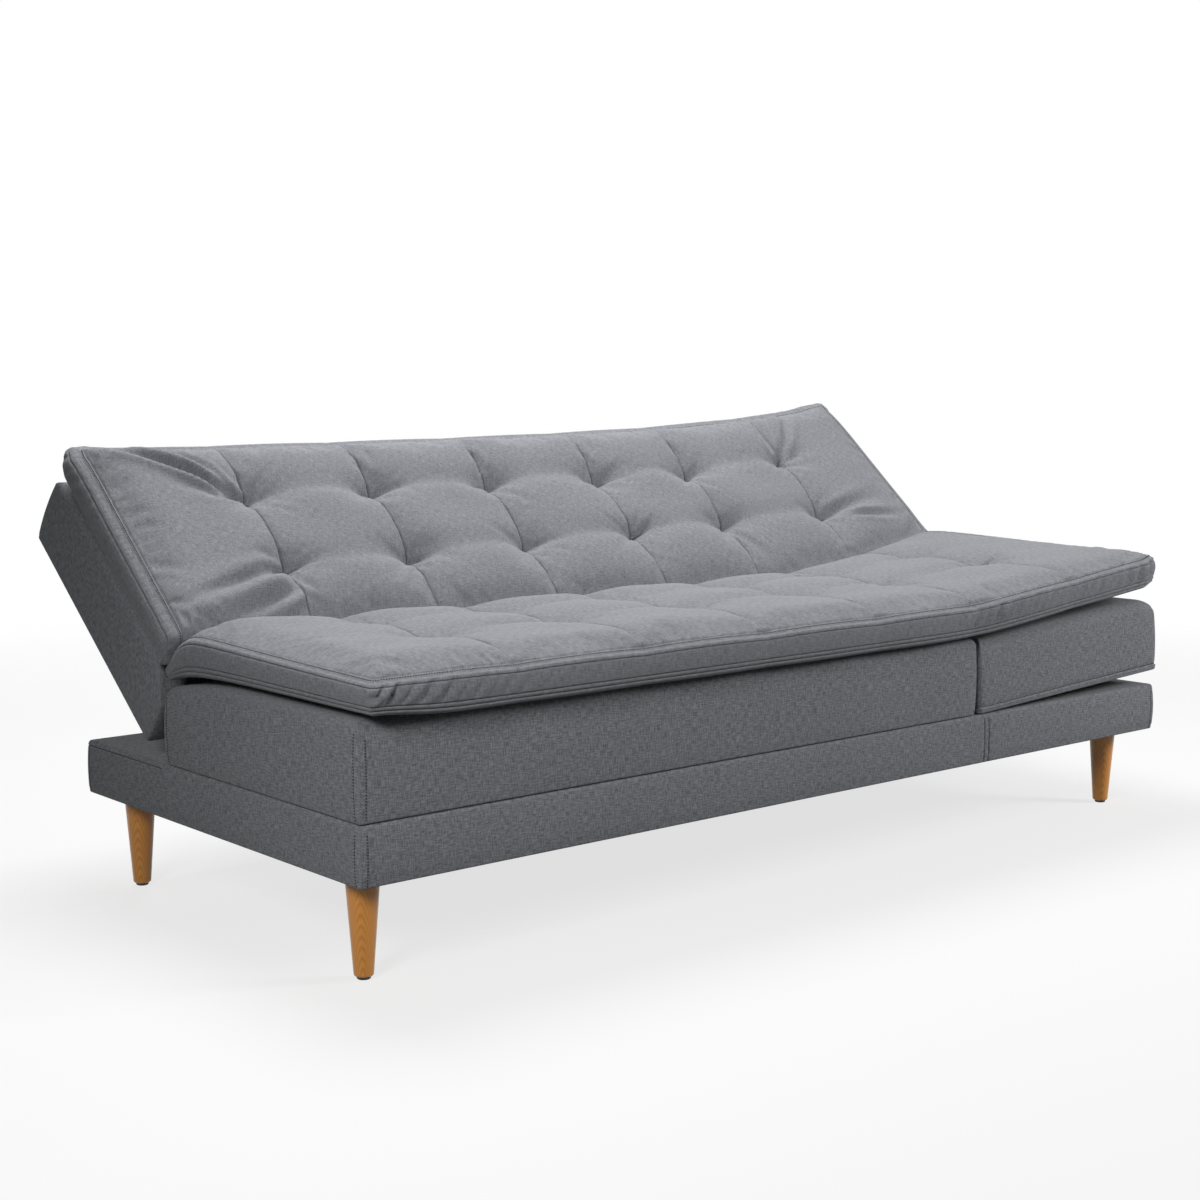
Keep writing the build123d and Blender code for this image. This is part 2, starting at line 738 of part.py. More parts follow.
# Back: cover, rear cloth, foam, webbing and frame, in its own reclined frame
back_frame_rear = back_rear + cover_cloth
back_rail_top = back_frame_rear + back_rail_height
back_web_top = back_rail_top + web_thickness
bottom_rail_high = inner + rail_thickness
top_rail_low = back_length - inner - rail_thickness

with BuildPart() as back_core:
    add(back_block(inner))
    add(back_slots.part, mode=Mode.SUBTRACT)

with BuildPart() as back_cover:
    add(back_block(0))
    add(back_block(cover_cloth), mode=Mode.SUBTRACT)
    add(back_slots.part, mode=Mode.SUBTRACT)
save(back_cover, "back_cover")

with BuildPart() as back_rear_cloth:
    cloth_high = (right_x, back_length, back_frame_rear)
    add(slice_of(back_core.part, back_frame, (left_x, 0, back_rear), cloth_high))
save(back_rear_cloth, "back_rear_cloth")

with BuildPart() as back_foam:
    foam_high = (right_x, back_length, back_pivot_depth)
    add(slice_of(back_core.part, back_frame, (left_x, 0, back_web_top), foam_high))
save(back_foam, "back_foam")

with BuildPart() as back_webbing:
    for place in spread(bottom_rail_high + web_width, top_rail_low - 2 * web_width, back_web_count):
        web_high = (right_x - inner, place + web_width, back_web_top)
        box(back_frame, (left_x + inner, place, back_rail_top), web_high)
save(back_webbing, "back_webbing")

with BuildPart() as back_bottom_rail:
    rail_high = (right_x, bottom_rail_high, back_rail_top)
    add(slice_of(back_core.part, back_frame, (left_x, 0, back_frame_rear), rail_high))
save(back_bottom_rail, "back_bottom_rail")

with BuildPart() as back_top_rail:
    rail_low = (left_x, top_rail_low, back_frame_rear)
    add(slice_of(back_core.part, back_frame, rail_low, (right_x, back_length, back_rail_top)))
save(back_top_rail, "back_top_rail")

stile_starts = (
    left_x + inner,
    -arm_high - rail_thickness,
    -rail_thickness / 2,
    arm_high,
    right_x - inner - rail_thickness,
)
with BuildPart() as back_stiles:
    for start in stile_starts:
        stile_low = (start, bottom_rail_high, back_frame_rear)
        box(back_frame, stile_low, (start + rail_thickness, top_rail_low, back_rail_top))
    for side in (-1, 1):
        drill(arm_screw_planes(side), screw_hole, screw_length + play)
save(back_stiles, "back_stiles")

# Topper pad: panels sewn side by side, each swelling from one seam to the next
seat_pad_frame = Plane(origin=(0, 0, seat_top + pad_lie))
end_pad_frame = Plane(end_frame.location * Location((0, 0, end_pivot_drop + pad_lie)))
back_pad_frame = Plane(back_frame.location * Location((0, 0, back_pivot_depth + pad_lie)))
middle_heights = (pad_crown, pad_row_height, pad_edge_height)
seam_heights = (pad_seam_crown, pad_tuft_height, pad_seam_edge)
border_heights = (pad_end_crown, pad_row_height, pad_edge_height)


def boxed_edge(place, edge, toward):
    """Sewn border of a pad: upright below its upper seam and tucked in below its lower seam."""
    return ((place, edge), (place, pad_lower_seam), (place - toward * pad_tuck, 0))


def plain_edge(place, top, foot):
    """Border of a pad that meets another: one straight slope down to its foot."""
    return ((place, top), (foot, 0))


def pad_section(plane, rows, crown, row_height, low_edge, high_edge):
    """Section across a padded panel: an arc over each row between its two borders."""
    places = spread(low_edge[0][0], high_edge[0][0], rows + 1)
    tops = [low_edge[0][1]] + [row_height] * (rows - 1) + [high_edge[0][1]]
    with BuildSketch(plane) as section:
        with BuildLine():
            for row in range(rows):
                middle = (places[row] + places[row + 1]) / 2
                ThreePointArc((places[row], tops[row]), (middle, crown), (places[row + 1], tops[row + 1]))
            Polyline(*high_edge)
            Line(high_edge[-1], low_edge[-1])
            Polyline(*low_edge)
        make_face()
    return section.sketch


def panel_planes(frame, places, first_plane=None, last_plane=None):
    """Planes of the seams and of the panel middles between them, in order along X."""
    planes = []
    for index, place in enumerate(places):
        if index > 0:
            planes.append(in_frame(frame, Plane.YZ.offset((places[index - 1] + place) / 2)))
        planes.append(in_frame(frame, Plane.YZ.offset(place)))
    if first_plane is not None:
        planes[0] = first_plane
    if last_plane is not None:
        planes[-1] = last_plane
    return planes


def panel_kinds(panels, low_border, high_border):
    """Heights and draw of each section in turn: a border, crown, seam, crown and so on."""
    kinds = [(border_heights, 0) if low_border else (seam_heights, pad_draw)]
    for panel in range(panels):
        kinds.append((middle_heights, 0))
        kinds.append((seam_heights, pad_draw))
    if high_border:
        kinds[-1] = (border_heights, 0)
    return kinds


# The pad folds over the split along two faces that lean away from each other
fold_angle = radians(end_highest_tilt / 2 + fold_spare_angle)
fold_setback = (end_pivot_drop + pad_lie) * tan(fold_angle)
pad_front_y = front_y - pad_overhang
crease_y = front_y + pad_crease_depth
pad_left_x = left_x + pad_side_inset
pad_right_x = right_x - pad_side_inset

seat_split_plane = Plane(
    origin=(split_x - fold_setback, 0, seat_top + pad_lie),
    x_dir=(0, 1, 0),
    z_dir=(cos(fold_angle), 0, sin(fold_angle)),
)
end_split_plane = in_frame(
    end_pad_frame,
    Plane(origin=(fold_setback, 0, 0), x_dir=(0, 1, 0), z_dir=(cos(fold_angle), 0, -sin(fold_angle))),
)


def seat_section(plane, kind, rear_edge):
    """Section of the seat pad, boxed at the front."""
    (crown, row_height, edge), draw = kind
    front_edge = boxed_edge(pad_front_y + draw, edge, -1)
    return pad_section(plane, seat_pad_rows, crown, row_height, front_edge, rear_edge)


with BuildPart() as seat_pad:
    seams = spread(pad_left_x, split_x - fold_setback, seat_pad_panels + 1)
    planes = panel_planes(seat_pad_frame, seams, last_plane=seat_split_plane)
    kinds = panel_kinds(seat_pad_panels, True, False)
    crease_edge = plain_edge(crease_y, pad_crease_height, crease_y + pad_crease_slope)
    sections = [seat_section(plane, kind, crease_edge) for plane, kind in zip(planes, kinds)]
    for panel in range(seat_pad_panels):
        loft(sections[2 * panel : 2 * panel + 3])
save(seat_pad, "seat_pad")

with BuildPart() as end_pad:
    seams = spread(fold_setback, pad_right_x - split_x, end_pad_panels + 1)
    planes = panel_planes(end_pad_frame, seams, first_plane=end_split_plane)
    kinds = panel_kinds(end_pad_panels, False, True)
    end_pad_rear_y = end_rear_y - pad_end_slack
    crease_edge = plain_edge(end_pad_rear_y, pad_crease_height, end_pad_rear_y)
    sections = [seat_section(plane, kind, crease_edge) for plane, kind in zip(planes, kinds)]
    for panel in range(end_pad_panels):
        loft(sections[2 * panel : 2 * panel + 3])
save(end_pad, "end_pad")

back_seams = spread(pad_left_x, pad_right_x, back_pad_panels + 1)
back_stations = spread(pad_left_x, pad_right_x, 2 * back_pad_panels + 1)
back_planes = panel_planes(back_pad_frame, back_seams)
back_kinds = panel_kinds(back_pad_panels, True, True)
fold_top = pad_top - back_pad_rows * pad_row_pitch
pad_low = fold_top + pad_lie


def back_section(station):
    """Section of the two upper rows of the back pad, boxed at the top.

    Beyond the split the top edge rises: the raised seat end pushes the pad up the back.
    """
    (crown, row_height, edge), draw = back_kinds[station]
    beyond_split = max(0, back_stations[station] - split_x) / (pad_right_x - split_x)
    top_edge = boxed_edge(pad_top + pad_ear_rise * beyond_split - draw, edge, 1)
    lower_edge = plain_edge(pad_low, row_height, pad_low)
    return pad_section(back_planes[station], back_pad_rows, crown, row_height, lower_edge, top_edge)


def fold_section(station):
    """Section of the lowest row of the back pad, which crumples into the crease as the back folds."""
    crown, row_height, edge = back_kinds[station][0]
    crease_edge = plain_edge(pad_fold_start, pad_crease_height, back_bevel + pad_fold_clear)
    upper_edge = plain_edge(fold_top, row_height, fold_top)
    return pad_section(back_planes[station], 1, crown, row_height, crease_edge, upper_edge)


with BuildPart() as back_pad:
    for panel in range(back_pad_panels):
        loft([back_section(station) for station in range(2 * panel, 2 * panel + 3)])
save(back_pad, "back_pad")

with BuildPart() as pad_fold:
    for panel in range(back_pad_panels):
        loft([fold_section(station) for station in range(2 * panel, 2 * panel + 3)])
save(pad_fold, "pad_fold")
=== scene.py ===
"""Looks of a click-clack sofa bed: tufted topper pad, linen covers, stitching, turned legs and stage."""

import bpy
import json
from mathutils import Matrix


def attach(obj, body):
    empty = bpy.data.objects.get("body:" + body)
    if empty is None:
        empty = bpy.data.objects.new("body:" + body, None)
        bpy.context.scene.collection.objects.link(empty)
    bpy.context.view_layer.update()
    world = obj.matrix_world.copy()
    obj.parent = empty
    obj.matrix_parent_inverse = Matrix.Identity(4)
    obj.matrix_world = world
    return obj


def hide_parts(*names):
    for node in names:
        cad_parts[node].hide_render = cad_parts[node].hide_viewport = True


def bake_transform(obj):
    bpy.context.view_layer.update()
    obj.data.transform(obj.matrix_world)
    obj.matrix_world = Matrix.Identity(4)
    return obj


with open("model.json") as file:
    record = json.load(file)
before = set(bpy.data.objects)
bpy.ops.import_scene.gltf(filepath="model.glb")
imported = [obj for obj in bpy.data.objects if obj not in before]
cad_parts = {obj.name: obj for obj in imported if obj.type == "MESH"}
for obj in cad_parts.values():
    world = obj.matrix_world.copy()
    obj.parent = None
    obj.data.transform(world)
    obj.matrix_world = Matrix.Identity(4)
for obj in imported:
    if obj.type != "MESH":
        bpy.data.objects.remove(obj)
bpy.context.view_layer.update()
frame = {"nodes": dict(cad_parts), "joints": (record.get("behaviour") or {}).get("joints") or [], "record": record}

import json
import math

import bpy
import numpy as np
from bpy.props import FloatProperty, FloatVectorProperty, PointerProperty
from bpy.types import Operator, Panel, PropertyGroup

bl_info = {
    "name": "Sofa bed looks",
    "version": (1, 0, 0),
    "blender": (4, 5, 0),
    "location": "View3D > Sidebar > Sofa bed",
    "description": "Dresses the packed sofa bed with its topper pad, covers, stitching, legs and stage",
    "category": "Object",
}

# Places that come from the frame


def node_points(node):
    """Corners of a CAD node's mesh at rest, as an array of points."""
    mesh = frame["nodes"][node].data
    flat = np.empty(3 * len(mesh.vertices), np.float32)
    mesh.vertices.foreach_get("co", flat)
    return flat.reshape(-1, 3).astype(float)


class Turned:
    """A local frame: an origin and three axes, as the rows of a matrix."""

    def __init__(self, origin, axes):
        self.origin = np.array(origin, float)
        self.axes = np.array(axes, float)

    def world(self, points):
        """Local points, in the frame that all pieces share."""
        return self.origin + np.asarray(points) @ self.axes

    def local(self, points):
        """Points of the shared frame, as local points."""
        return (np.asarray(points) - self.origin) @ self.axes.T

    def box(self, node):
        """Lowest and highest local corner of a CAD node."""
        points = self.local(node_points(node))
        return points.min(0), points.max(0)


JOINTS = {joint["name"]: joint for joint in frame["joints"]}
END_PIVOT = JOINTS["end_tilt"]["pos_m"]
END_TILT = math.radians(-JOINTS["end_tilt"]["range_deg"][0])
BACK_PIVOT = JOINTS["back_recline"]["pos_m"]
BACK_LEAN = math.radians(-JOINTS["back_recline"]["range_deg"][0])

LEVEL = Turned((0, 0, 0), np.eye(3))
END = Turned(
    END_PIVOT,
    (
        (math.cos(END_TILT), 0, math.sin(END_TILT)),
        (0, 1, 0),
        (-math.sin(END_TILT), 0, math.cos(END_TILT)),
    ),
)
BACK = Turned(
    BACK_PIVOT,
    (
        (1, 0, 0),
        (0, math.cos(BACK_LEAN), math.sin(BACK_LEAN)),
        (0, -math.sin(BACK_LEAN), math.cos(BACK_LEAN)),
    ),
)

BASE_LOW, BASE_HIGH = LEVEL.box("base_cover")
SEAT_LOW, SEAT_HIGH = LEVEL.box("seat_cover")
END_LOW, END_HIGH = END.box("end_cover")
BACK_LOW, BACK_HIGH = BACK.box("back_cover")
PAD_LEFT = BACK.box("back_pad")[0][0]
PAD_RIGHT = -PAD_LEFT
PAD_FRONT = LEVEL.box("seat_pad")[0][1]
FRONT = BASE_LOW[1]
SPLIT = END_PIVOT[0]
SEAT_TOP = SEAT_HIGH[2]


def linear_colour(code):
    """Linear colour of an sRGB hex code, with full alpha."""
    channels = [int(code[place : place + 2], 16) / 255 for place in (0, 2, 4)]
    linear = [c / 12.92 if c <= 0.04045 else ((c + 0.055) / 1.055) ** 2.4 for c in channels]
    return (*linear, 1.0)


def length(name, default, description):
    """A length property, in metres."""
    return FloatProperty(name=name, default=default, description=description, unit="LENGTH", precision=4)


def colour(name, code, description):
    """A colour property, whose default is an sRGB hex code."""
    tone = linear_colour(code)
    return FloatVectorProperty(
        name=name, default=tone, description=description, subtype="COLOR", size=4, min=0, max=1
    )


class TopperSizes(PropertyGroup):
    """Sizes of the tufted topper pad."""

    crown: length("Crown", 0.077, "Height of a pillow's middle above what the pad lies on")
    tuft: length("Tuft", 0.044, "Height of a tuft above what the pad lies on")
    end_crown_drop: length("End crown drop", 0.013, "How much flatter the pillows on the raised end are")
    back_edge: length("Back edge", 0.066, "Height of the upper border seam on the back")
    back_top_edge: length("Back top edge", 0.039, "Height of the border seam along the back's top")
    back_tuft: length("Back tuft", 0.042, "Height of a tuft above the back")
    border_hang: length("Border hang", 0.0015, "How far the lower border hangs below the pad's underside")
    border_lift: length("Border lift", 0.010, "Room under the lower border at the left end")
    border_press: length("Border press", 0.008, "How far it is pressed down at the fold's left end")
    edge_rise: length("Edge rise", 0.014, "How much higher the left border is towards the fold")
    edge: length("Edge", 0.054, "Height of the upper border seam")
    crease: length("Crease", 0.043, "Height of the fold between seat and back")
    edge_dip: length("Edge dip", 0.003, "How much lower the border is at a panel seam")
    crease_dip: length("Crease dip", 0.008, "How much deeper the fold is at a panel seam")
    pinch: length("Pinch", 0.031, "How much deeper the fold is where it is pinched at the left end")
    draw: length("Draw", 0.004, "How far a panel seam draws the border in")
    seam_groove: length("Seam groove", 0.0056, "Depth of the groove along a panel seam")
    seat_row_front: length("Front tufts", 0.185, "Front row of tufts, behind the base's front face")
    seat_row_rear: length("Rear tufts", 0.350, "Rear row of tufts, behind the base's front face")
    crease_place: length("Crease place", 0.513, "The fold, behind the base's front face")
    crease_shift: length("Crease shift", 0.057, "How far the fold runs back at the raised end")
    raised_crease: length("Raised crease", 0.019, "How much shallower the fold is at the raised end")
    back_row_low: length("Low back tufts", 0.160, "Lower row of tufts, up the back from its pivot")
    back_row_high: length("High back tufts", 0.320, "Upper row of tufts, up the back from its pivot")
    back_top: length("Back top", 0.476, "Top border seam at the left end, up the back from its pivot")
    back_top_rise: length("Back top rise", 0.060, "How much higher the top border is at the right end")
    back_lift: length("Back lift", 0.016, "Room between the pad's top edge and the back")
    lift_angle: FloatProperty(
        name="Lift angle",
        default=math.radians(5.8),
        description="Slope of the pad on the raised end",
        subtype="ANGLE",
    )


class CoverSizes(PropertyGroup):
    """Sizes of the covers, seams and stitches."""

    side_crown: length("Side crown", 0.0025, "Swell of a cover's sides over the foam")
    groove: length("Groove", 0.0030, "Depth of a sewn groove")
    cover_groove: length("Cover groove", 0.0017, "Depth of a sewn groove in a cover")
    groove_width: length("Groove width", 0.0012, "Half width of a sewn groove")
    stitch_offset: length("Stitch offset", 0.0085, "From a cover's corner to the stitches beside it")
    stitch_pitch: length("Stitch pitch", 0.0043, "From one stitch to the next")
    stitch_length: length("Stitch length", 0.0036, "Length of a stitch")
    thread_radius: length("Thread radius", 0.0010, "Half thickness of the sewing thread")


class FinishColours(PropertyGroup):
    """Colours of the materials."""

    linen_light: colour("Linen light", "A2A4A9", "Light yarn of the linen-look cloth")
    linen_dark: colour("Linen dark", "75777C", "Dark yarn of the linen-look cloth")
    thread: colour("Thread", "2C2E31", "Sewing thread")
    oak_light: colour("Oak light", "FFB04E", "Early wood of the lacquered legs")
    oak_dark: colour("Oak dark", "E08A30", "Late wood of the lacquered legs")
    timber: colour("Timber", "CBA678", "Sawn softwood of the inner frame")
    steel: colour("Steel", "A9ADB2", "Zinc-plated hinge steel")
    lining: colour("Lining", "1B1B1D", "Black dust cloth")
    foam: colour("Foam", "E6DDBF", "Cut foam")
    webbing: colour("Webbing", "3A3530", "Elastic webbing")
    plastic: colour("Glide plastic", "121212", "Moulded glide")
    floor: colour("Floor", "F7F7F7", "Plain studio floor")
    floor_bounce: colour("Floor bounce", "5C5C5C", "Floor as it throws light back on the sofa")


# Mesh making


def make_object(name, points, faces, uv=None):
    """A smooth object at the origin from arrays of points and faces, with UVs per corner."""
    faces = np.asarray(faces, np.int32)
    mesh = bpy.data.meshes.new(name)
    mesh.vertices.add(len(points))
    mesh.vertices.foreach_set("co", np.asarray(points, np.float32).ravel())
    mesh.loops.add(faces.size)
    mesh.loops.foreach_set("vertex_index", faces.ravel())
    mesh.polygons.add(len(faces))
    mesh.polygons.foreach_set("loop_start", np.arange(0, faces.size, faces.shape[1], dtype=np.int32))
    mesh.update(calc_edges=True)
    if uv is not None:
        mesh.uv_layers.new(name="UVMap").data.foreach_set("uv", np.asarray(uv, np.float32).ravel())
    mesh.validate()
    mesh.shade_smooth()
    piece = bpy.data.objects.new(name, mesh)
    bpy.context.scene.collection.objects.link(piece)
    return piece


def grid_quads(columns, rows):
    """Quads of a grid of points, facing up where both of its directions run forwards."""
    numbers = np.arange(columns * rows).reshape(columns, rows)
    return np.stack(
        [numbers[:-1, :-1], numbers[1:, :-1], numbers[1:, 1:], numbers[:-1, 1:]], axis=-1
    ).reshape(-1, 4)


def edge_loop(columns, rows):
    """Column and row numbers around a grid's edge, counter-clockwise from its first corner."""
    across = np.arange(columns)
    along = np.arange(rows)
    column = np.concatenate(
        [across, np.full(rows - 1, columns - 1), across[::-1][1:], np.zeros(rows - 2, int)]
    )
    row = np.concatenate(
        [np.zeros(columns, int), along[1:], np.full(columns - 1, rows - 1), along[::-1][1:-1]]
    )
    return column, row


def quads_between(upper, lower):
    """Quads of a closed band between two loops of vertex numbers, facing outwards."""
    return np.stack([lower, np.roll(lower, -1), np.roll(upper, -1), upper], axis=1)


def band_uv(around, upper_depth, lower_depth):
    """UVs of a closed band: the way round it, and the depth below the top edge."""
    next_around = around[1:]
    this_around = around[:-1]
    low = np.full(len(this_around), lower_depth)
    high = np.full(len(this_around), upper_depth)
    corners = [(this_around, low), (next_around, low), (next_around, high), (this_around, high)]
    return np.stack([np.stack(corner, axis=1) for corner in corners], axis=1)


def wrapped(top, flat, rings, bottom=None):
    """Closed cushion surface: a top grid, rings that go down from its edge, and a bottom grid.

    top is a grid of points and flat its place on the uncut cloth. rings is a stack of loops, each
    with one point below every point of the top's edge. With no bottom grid the shell stays open.
    """
    columns, rows = top.shape[:2]
    numbers = np.arange(columns * rows).reshape(columns, rows)
    column, row = edge_loop(columns, rows)
    face = grid_quads(columns, rows)
    flat_points = flat.reshape(-1, 2)
    middle = rings[len(rings) // 2]
    around = way_round(np.concatenate([middle, middle[:1]]))
    depths = np.concatenate([[0], np.cumsum(np.linalg.norm(np.diff(rings, axis=0), axis=2).mean(1))])
    depths += np.linalg.norm(rings[0] - top[column, row], axis=1).mean()

    points = [top.reshape(-1, 3), rings.reshape(-1, 3)]
    quads = [face]
    uvs = [flat_points[face]]
    upper, upper_depth = numbers[column, row], 0.0
    first = columns * rows
    for place in range(len(rings)):
        lower = first + place * len(column) + np.arange(len(column))
        quads.append(quads_between(upper, lower))
        uvs.append(band_uv(around, upper_depth, depths[place]))
        upper, upper_depth = lower, depths[place]
    if bottom is not None:
        points.append(bottom.reshape(-1, 3))
        under = first + len(rings) * len(column) + numbers
        quads.append(quads_between(upper, under[column, row]))
        uvs.append(band_uv(around, upper_depth, upper_depth))
        back_face = face[:, ::-1]
        quads.append(under.reshape(-1)[back_face])
        uvs.append(flat_points[back_face])
    return np.concatenate(points), np.concatenate(quads), np.concatenate(uvs).reshape(-1, 2)


def lines_between(lines, near, pitch):
    """Grid lines over a row of intervals: close beside each line, and about pitch apart between."""
    near = np.array(near)
    spans = []
    for low, high in zip(lines[:-1], lines[1:]):
        count = max(2, round((high - low - 2 * near[-1]) / pitch))
        middle = np.linspace(low + near[-1], high - near[-1], count + 1)
        spans.append(np.concatenate([low + near[:-1], middle, (high - near[:-1])[::-1]]))
    return np.concatenate([span[:-1] for span in spans] + [[lines[-1]]])


def gap_to(values, lines):
    """Distance from each value to the nearest of the lines."""
    return np.abs(values[..., None] - np.asarray(lines)).min(-1)


def bell(distance, width):
    """A bell curve of height 1."""
    return np.exp(-((distance / width) ** 2))


def uneven(x, y, seed, waves=9, shortest=0.09, longest=0.45):
    """Gentle unevenness between about -1 and 1: a sum of plane waves in seeded directions."""
    draw = np.random.default_rng(seed)
    total = np.zeros(np.broadcast(x, y).shape)
    for _ in range(waves):
        turn = draw.uniform(0, 2 * math.pi)
        wave = 2 * math.pi / draw.uniform(shortest, longest)
        total += np.sin(wave * (x * math.cos(turn) + y * math.sin(turn)) + draw.uniform(0, 2 * math.pi))
    return total / math.sqrt(waves)


# Topper pad

# Panel seams along the sofa; the panels are not quite equal
SEAMS = np.array((-0.648, -0.399, -0.142, 0.120, 0.362, 0.641))
HALF_PANEL = 0.128

# Grid of the pad: lines beside a seam and the border, the pitch elsewhere, and lines for the puckers
NEAR_SEAM = (0, 0.0008, 0.0018, 0.0034, 0.0075)
NEAR_BORDER = (0, 0.002, 0.0045, 0.0062, 0.0075, 0.0088, 0.0105, 0.014)
PAD_PITCH = 0.0062
PUCKER_START = 0.02
PUCKER_END = 0.24
PUCKER_LINES = 80

# Rows of tufts: width of a row's near and far side, fade past its ends, bow between tufts and the
# share of its depth that is left there; then how pillows drop to a seam, and the seam's own groove
ROW_NEAR = 0.019
ROW_FAR = 0.029
ROW_FADE = 0.06
SEAT_BOWS = (0.012, 0.012)
BACK_BOWS = (0.007, 0.014)
SEAT_ROW_SHARE = 0.32
BACK_ROW_SHARE = 0.17
SHOULDER = 0.22
SHOULDER_REACH = 0.08
SEAM_WIDTH = 0.0013
SEAM_FADE = 0.02

# Border and fold: widths over which the top runs into them, and how the fold ends on the left
BORDER_WIDTH = 0.026
CREASE_WIDTH = 0.042
SEAT_PINCH_WIDTH = 0.036
SEAT_PINCH_REACH = 0.040
BACK_PINCH_WIDTH = 0.011
BACK_PINCH_REACH = 0.085
PINCH_REACH = 0.024
FOLD_END_BACK = 0.009
FOLD_END_REACH = 0.020
LEFT_LIFT_REACH = 0.09
DRAW_REACH = 0.05

# Underside: ramp over the split, inset from the border, gap to what the pad lies on
RAMP_BEND = 0.06
PAD_BOTTOM_INSET = 0.026
PAD_REST_GAP = 0.0006

# How much shorter the seat part is at the right end
SEAT_PAD_SHORT = 0.002

# Lowest grid line of the back part, up the back from its pivot
LOW_U = 0.035

# Cloth simulation: spare cloth, length, furthest move and spacing of its grid
CLOTH_EASE = 0.02
CLOTH_FRAMES = 12
CLOTH_CAP = 0.006
CLOTH_PITCH = 0.0046

# Places down the pad's border, as shares of its height below the upper seam, and those that are sewn
BOXING = (
    0.015, 0.045, 0.085, 0.110, 0.125, 0.140, 0.180, 0.250, 0.340, 0.440, 0.540, 0.600,
    0.650, 0.680, 0.700, 0.720, 0.770, 0.815, 0.830, 0.845, 0.900, 0.950, 0.985,
)
BOXING_SEWN = (0.125, 0.700, 0.830)
BOXING_GROOVE = 0.0030
BOXING_TUCK = 0.006

# Numbers of the lines in NEAR_BORDER and BOXING that carry stitches
UPPER_STITCH = 4
LOWER_SEAM_STITCH = 14
LOWEST_STITCH = 18


def beyond_split(x):
    """Share of the way from the split to the right end, 0 on the fixed seat."""
    return np.clip((x - SPLIT) / (PAD_RIGHT - SPLIT), 0, 1) ** 1.25


def along_pad(x):
    """Share of the way from the pad's left end to its right end."""
    return np.clip((x - PAD_LEFT) / (PAD_RIGHT - PAD_LEFT), 0, 1)


def near_seam(x):
    """1 on a panel seam, falling to 0 half a panel away."""
    return 1 - np.clip(gap_to(x, SEAMS) / HALF_PANEL, 0, 1)


def pad_columns():
    """Grid lines of the pad along the sofa, packed at the panel seams and at both ends."""
    lines = lines_between((PAD_LEFT, *SEAMS, PAD_RIGHT), NEAR_SEAM, PAD_PITCH)
    ends = np.array(NEAR_BORDER)
    puckered = np.linspace(PAD_LEFT + PUCKER_START, PAD_LEFT + PUCKER_END, PUCKER_LINES)
    return np.unique(np.concatenate([lines, PAD_LEFT + ends, puckered, PAD_RIGHT - ends]).round(6))


def from_ends(x):
    """Distance from the nearer end of the pad."""
    return np.minimum(x - PAD_LEFT, PAD_RIGHT - x)


def pad_floor(x, sizes):
    """Underside of the seat pad: level on the seat, then a smooth ramp up over the raised end."""
    past = x - SPLIT
    ramp = past + np.sqrt(past**2 + RAMP_BEND**2)
    return SEAT_TOP + PAD_REST_GAP + math.tan(sizes.lift_angle) * ramp / 2


def crease_line(x, sizes):
    """The fold between seat and back: its place y and its height z along the sofa.

    It dips at the panel seams, is pinched shut at the left end, and runs back and up on the lifting end.
    """
    share = beyond_split(x)
    from_left = x - PAD_LEFT
    dip = sizes.crease_dip * near_seam(x) ** 3 * (1 - share)
    dip = dip + sizes.pinch * np.exp(-from_left / PINCH_REACH)
    y = FRONT + sizes.crease_place + sizes.crease_shift * share
    y = y + FOLD_END_BACK * np.exp(-from_left / FOLD_END_REACH)
    return y, pad_floor(x, sizes) + sizes.crease + sizes.raised_crease * share - dip


def foot_lift(x, behind, sizes):
    """Height of the pad's lower border above its underside.

    It hangs a little in front, stands off at the left end, and is pressed down where the fold ends there.
    """
    left = bell(x - PAD_LEFT, LEFT_LIFT_REACH)
    lift = sizes.border_lift * (1 - behind**6) - sizes.border_press * behind**10
    return left * lift - sizes.border_hang


def fold_share(distance, x, pinched_width, reach):
    """How much of the fold's own height a point takes: 1 in the fold, tight towards its left end."""
    pinched = np.exp(-(x - PAD_LEFT) / reach)
    width = CREASE_WIDTH * (1 - pinched) + pinched_width * pinched
    return np.exp(-((np.abs(distance) / width) ** 1.35))


def tufted(x, y, rows, bows, row_share, border, crown, tuft, groove_depth):
    """Height of a tufted top.

    A valley runs along each row of tufts: full depth at a tuft and a share of it between tufts, where
    it bows away from the front. It fades out past the outer tufts. Its near side is steep and its far
    side gentle, and it is sharp at the tufts. Pillows drop towards the panel seams, least so near the
    border, and each seam is a narrow groove.
    """
    near = near_seam(x)
    outside = (SEAMS[0] - x).clip(0) + (x - SEAMS[-1]).clip(0)
    depth = row_share * bell(outside, ROW_FADE) + (1 - row_share) * near**3.4
    valley = np.zeros(x.shape)
    for row, bow in zip(rows, bows):
        past = y - row - bow * np.cos(math.pi / 2 * near)
        width = np.where(past > 0, ROW_FAR, ROW_NEAR)
        sharpness = 1.8 - 0.75 * near**1.5
        valley = np.maximum(valley, np.exp(-((np.abs(past) / width) ** sharpness)))
    pillow = (1 - depth * valley) * (1 - SHOULDER * near**3 * (1 - np.exp(-border / SHOULDER_REACH)))
    groove = groove_depth * bell(gap_to(x, SEAMS), SEAM_WIDTH) * (1 - 0.7 * np.exp(-border / SEAM_FADE))
    return tuft + (crown - tuft) * pillow - groove


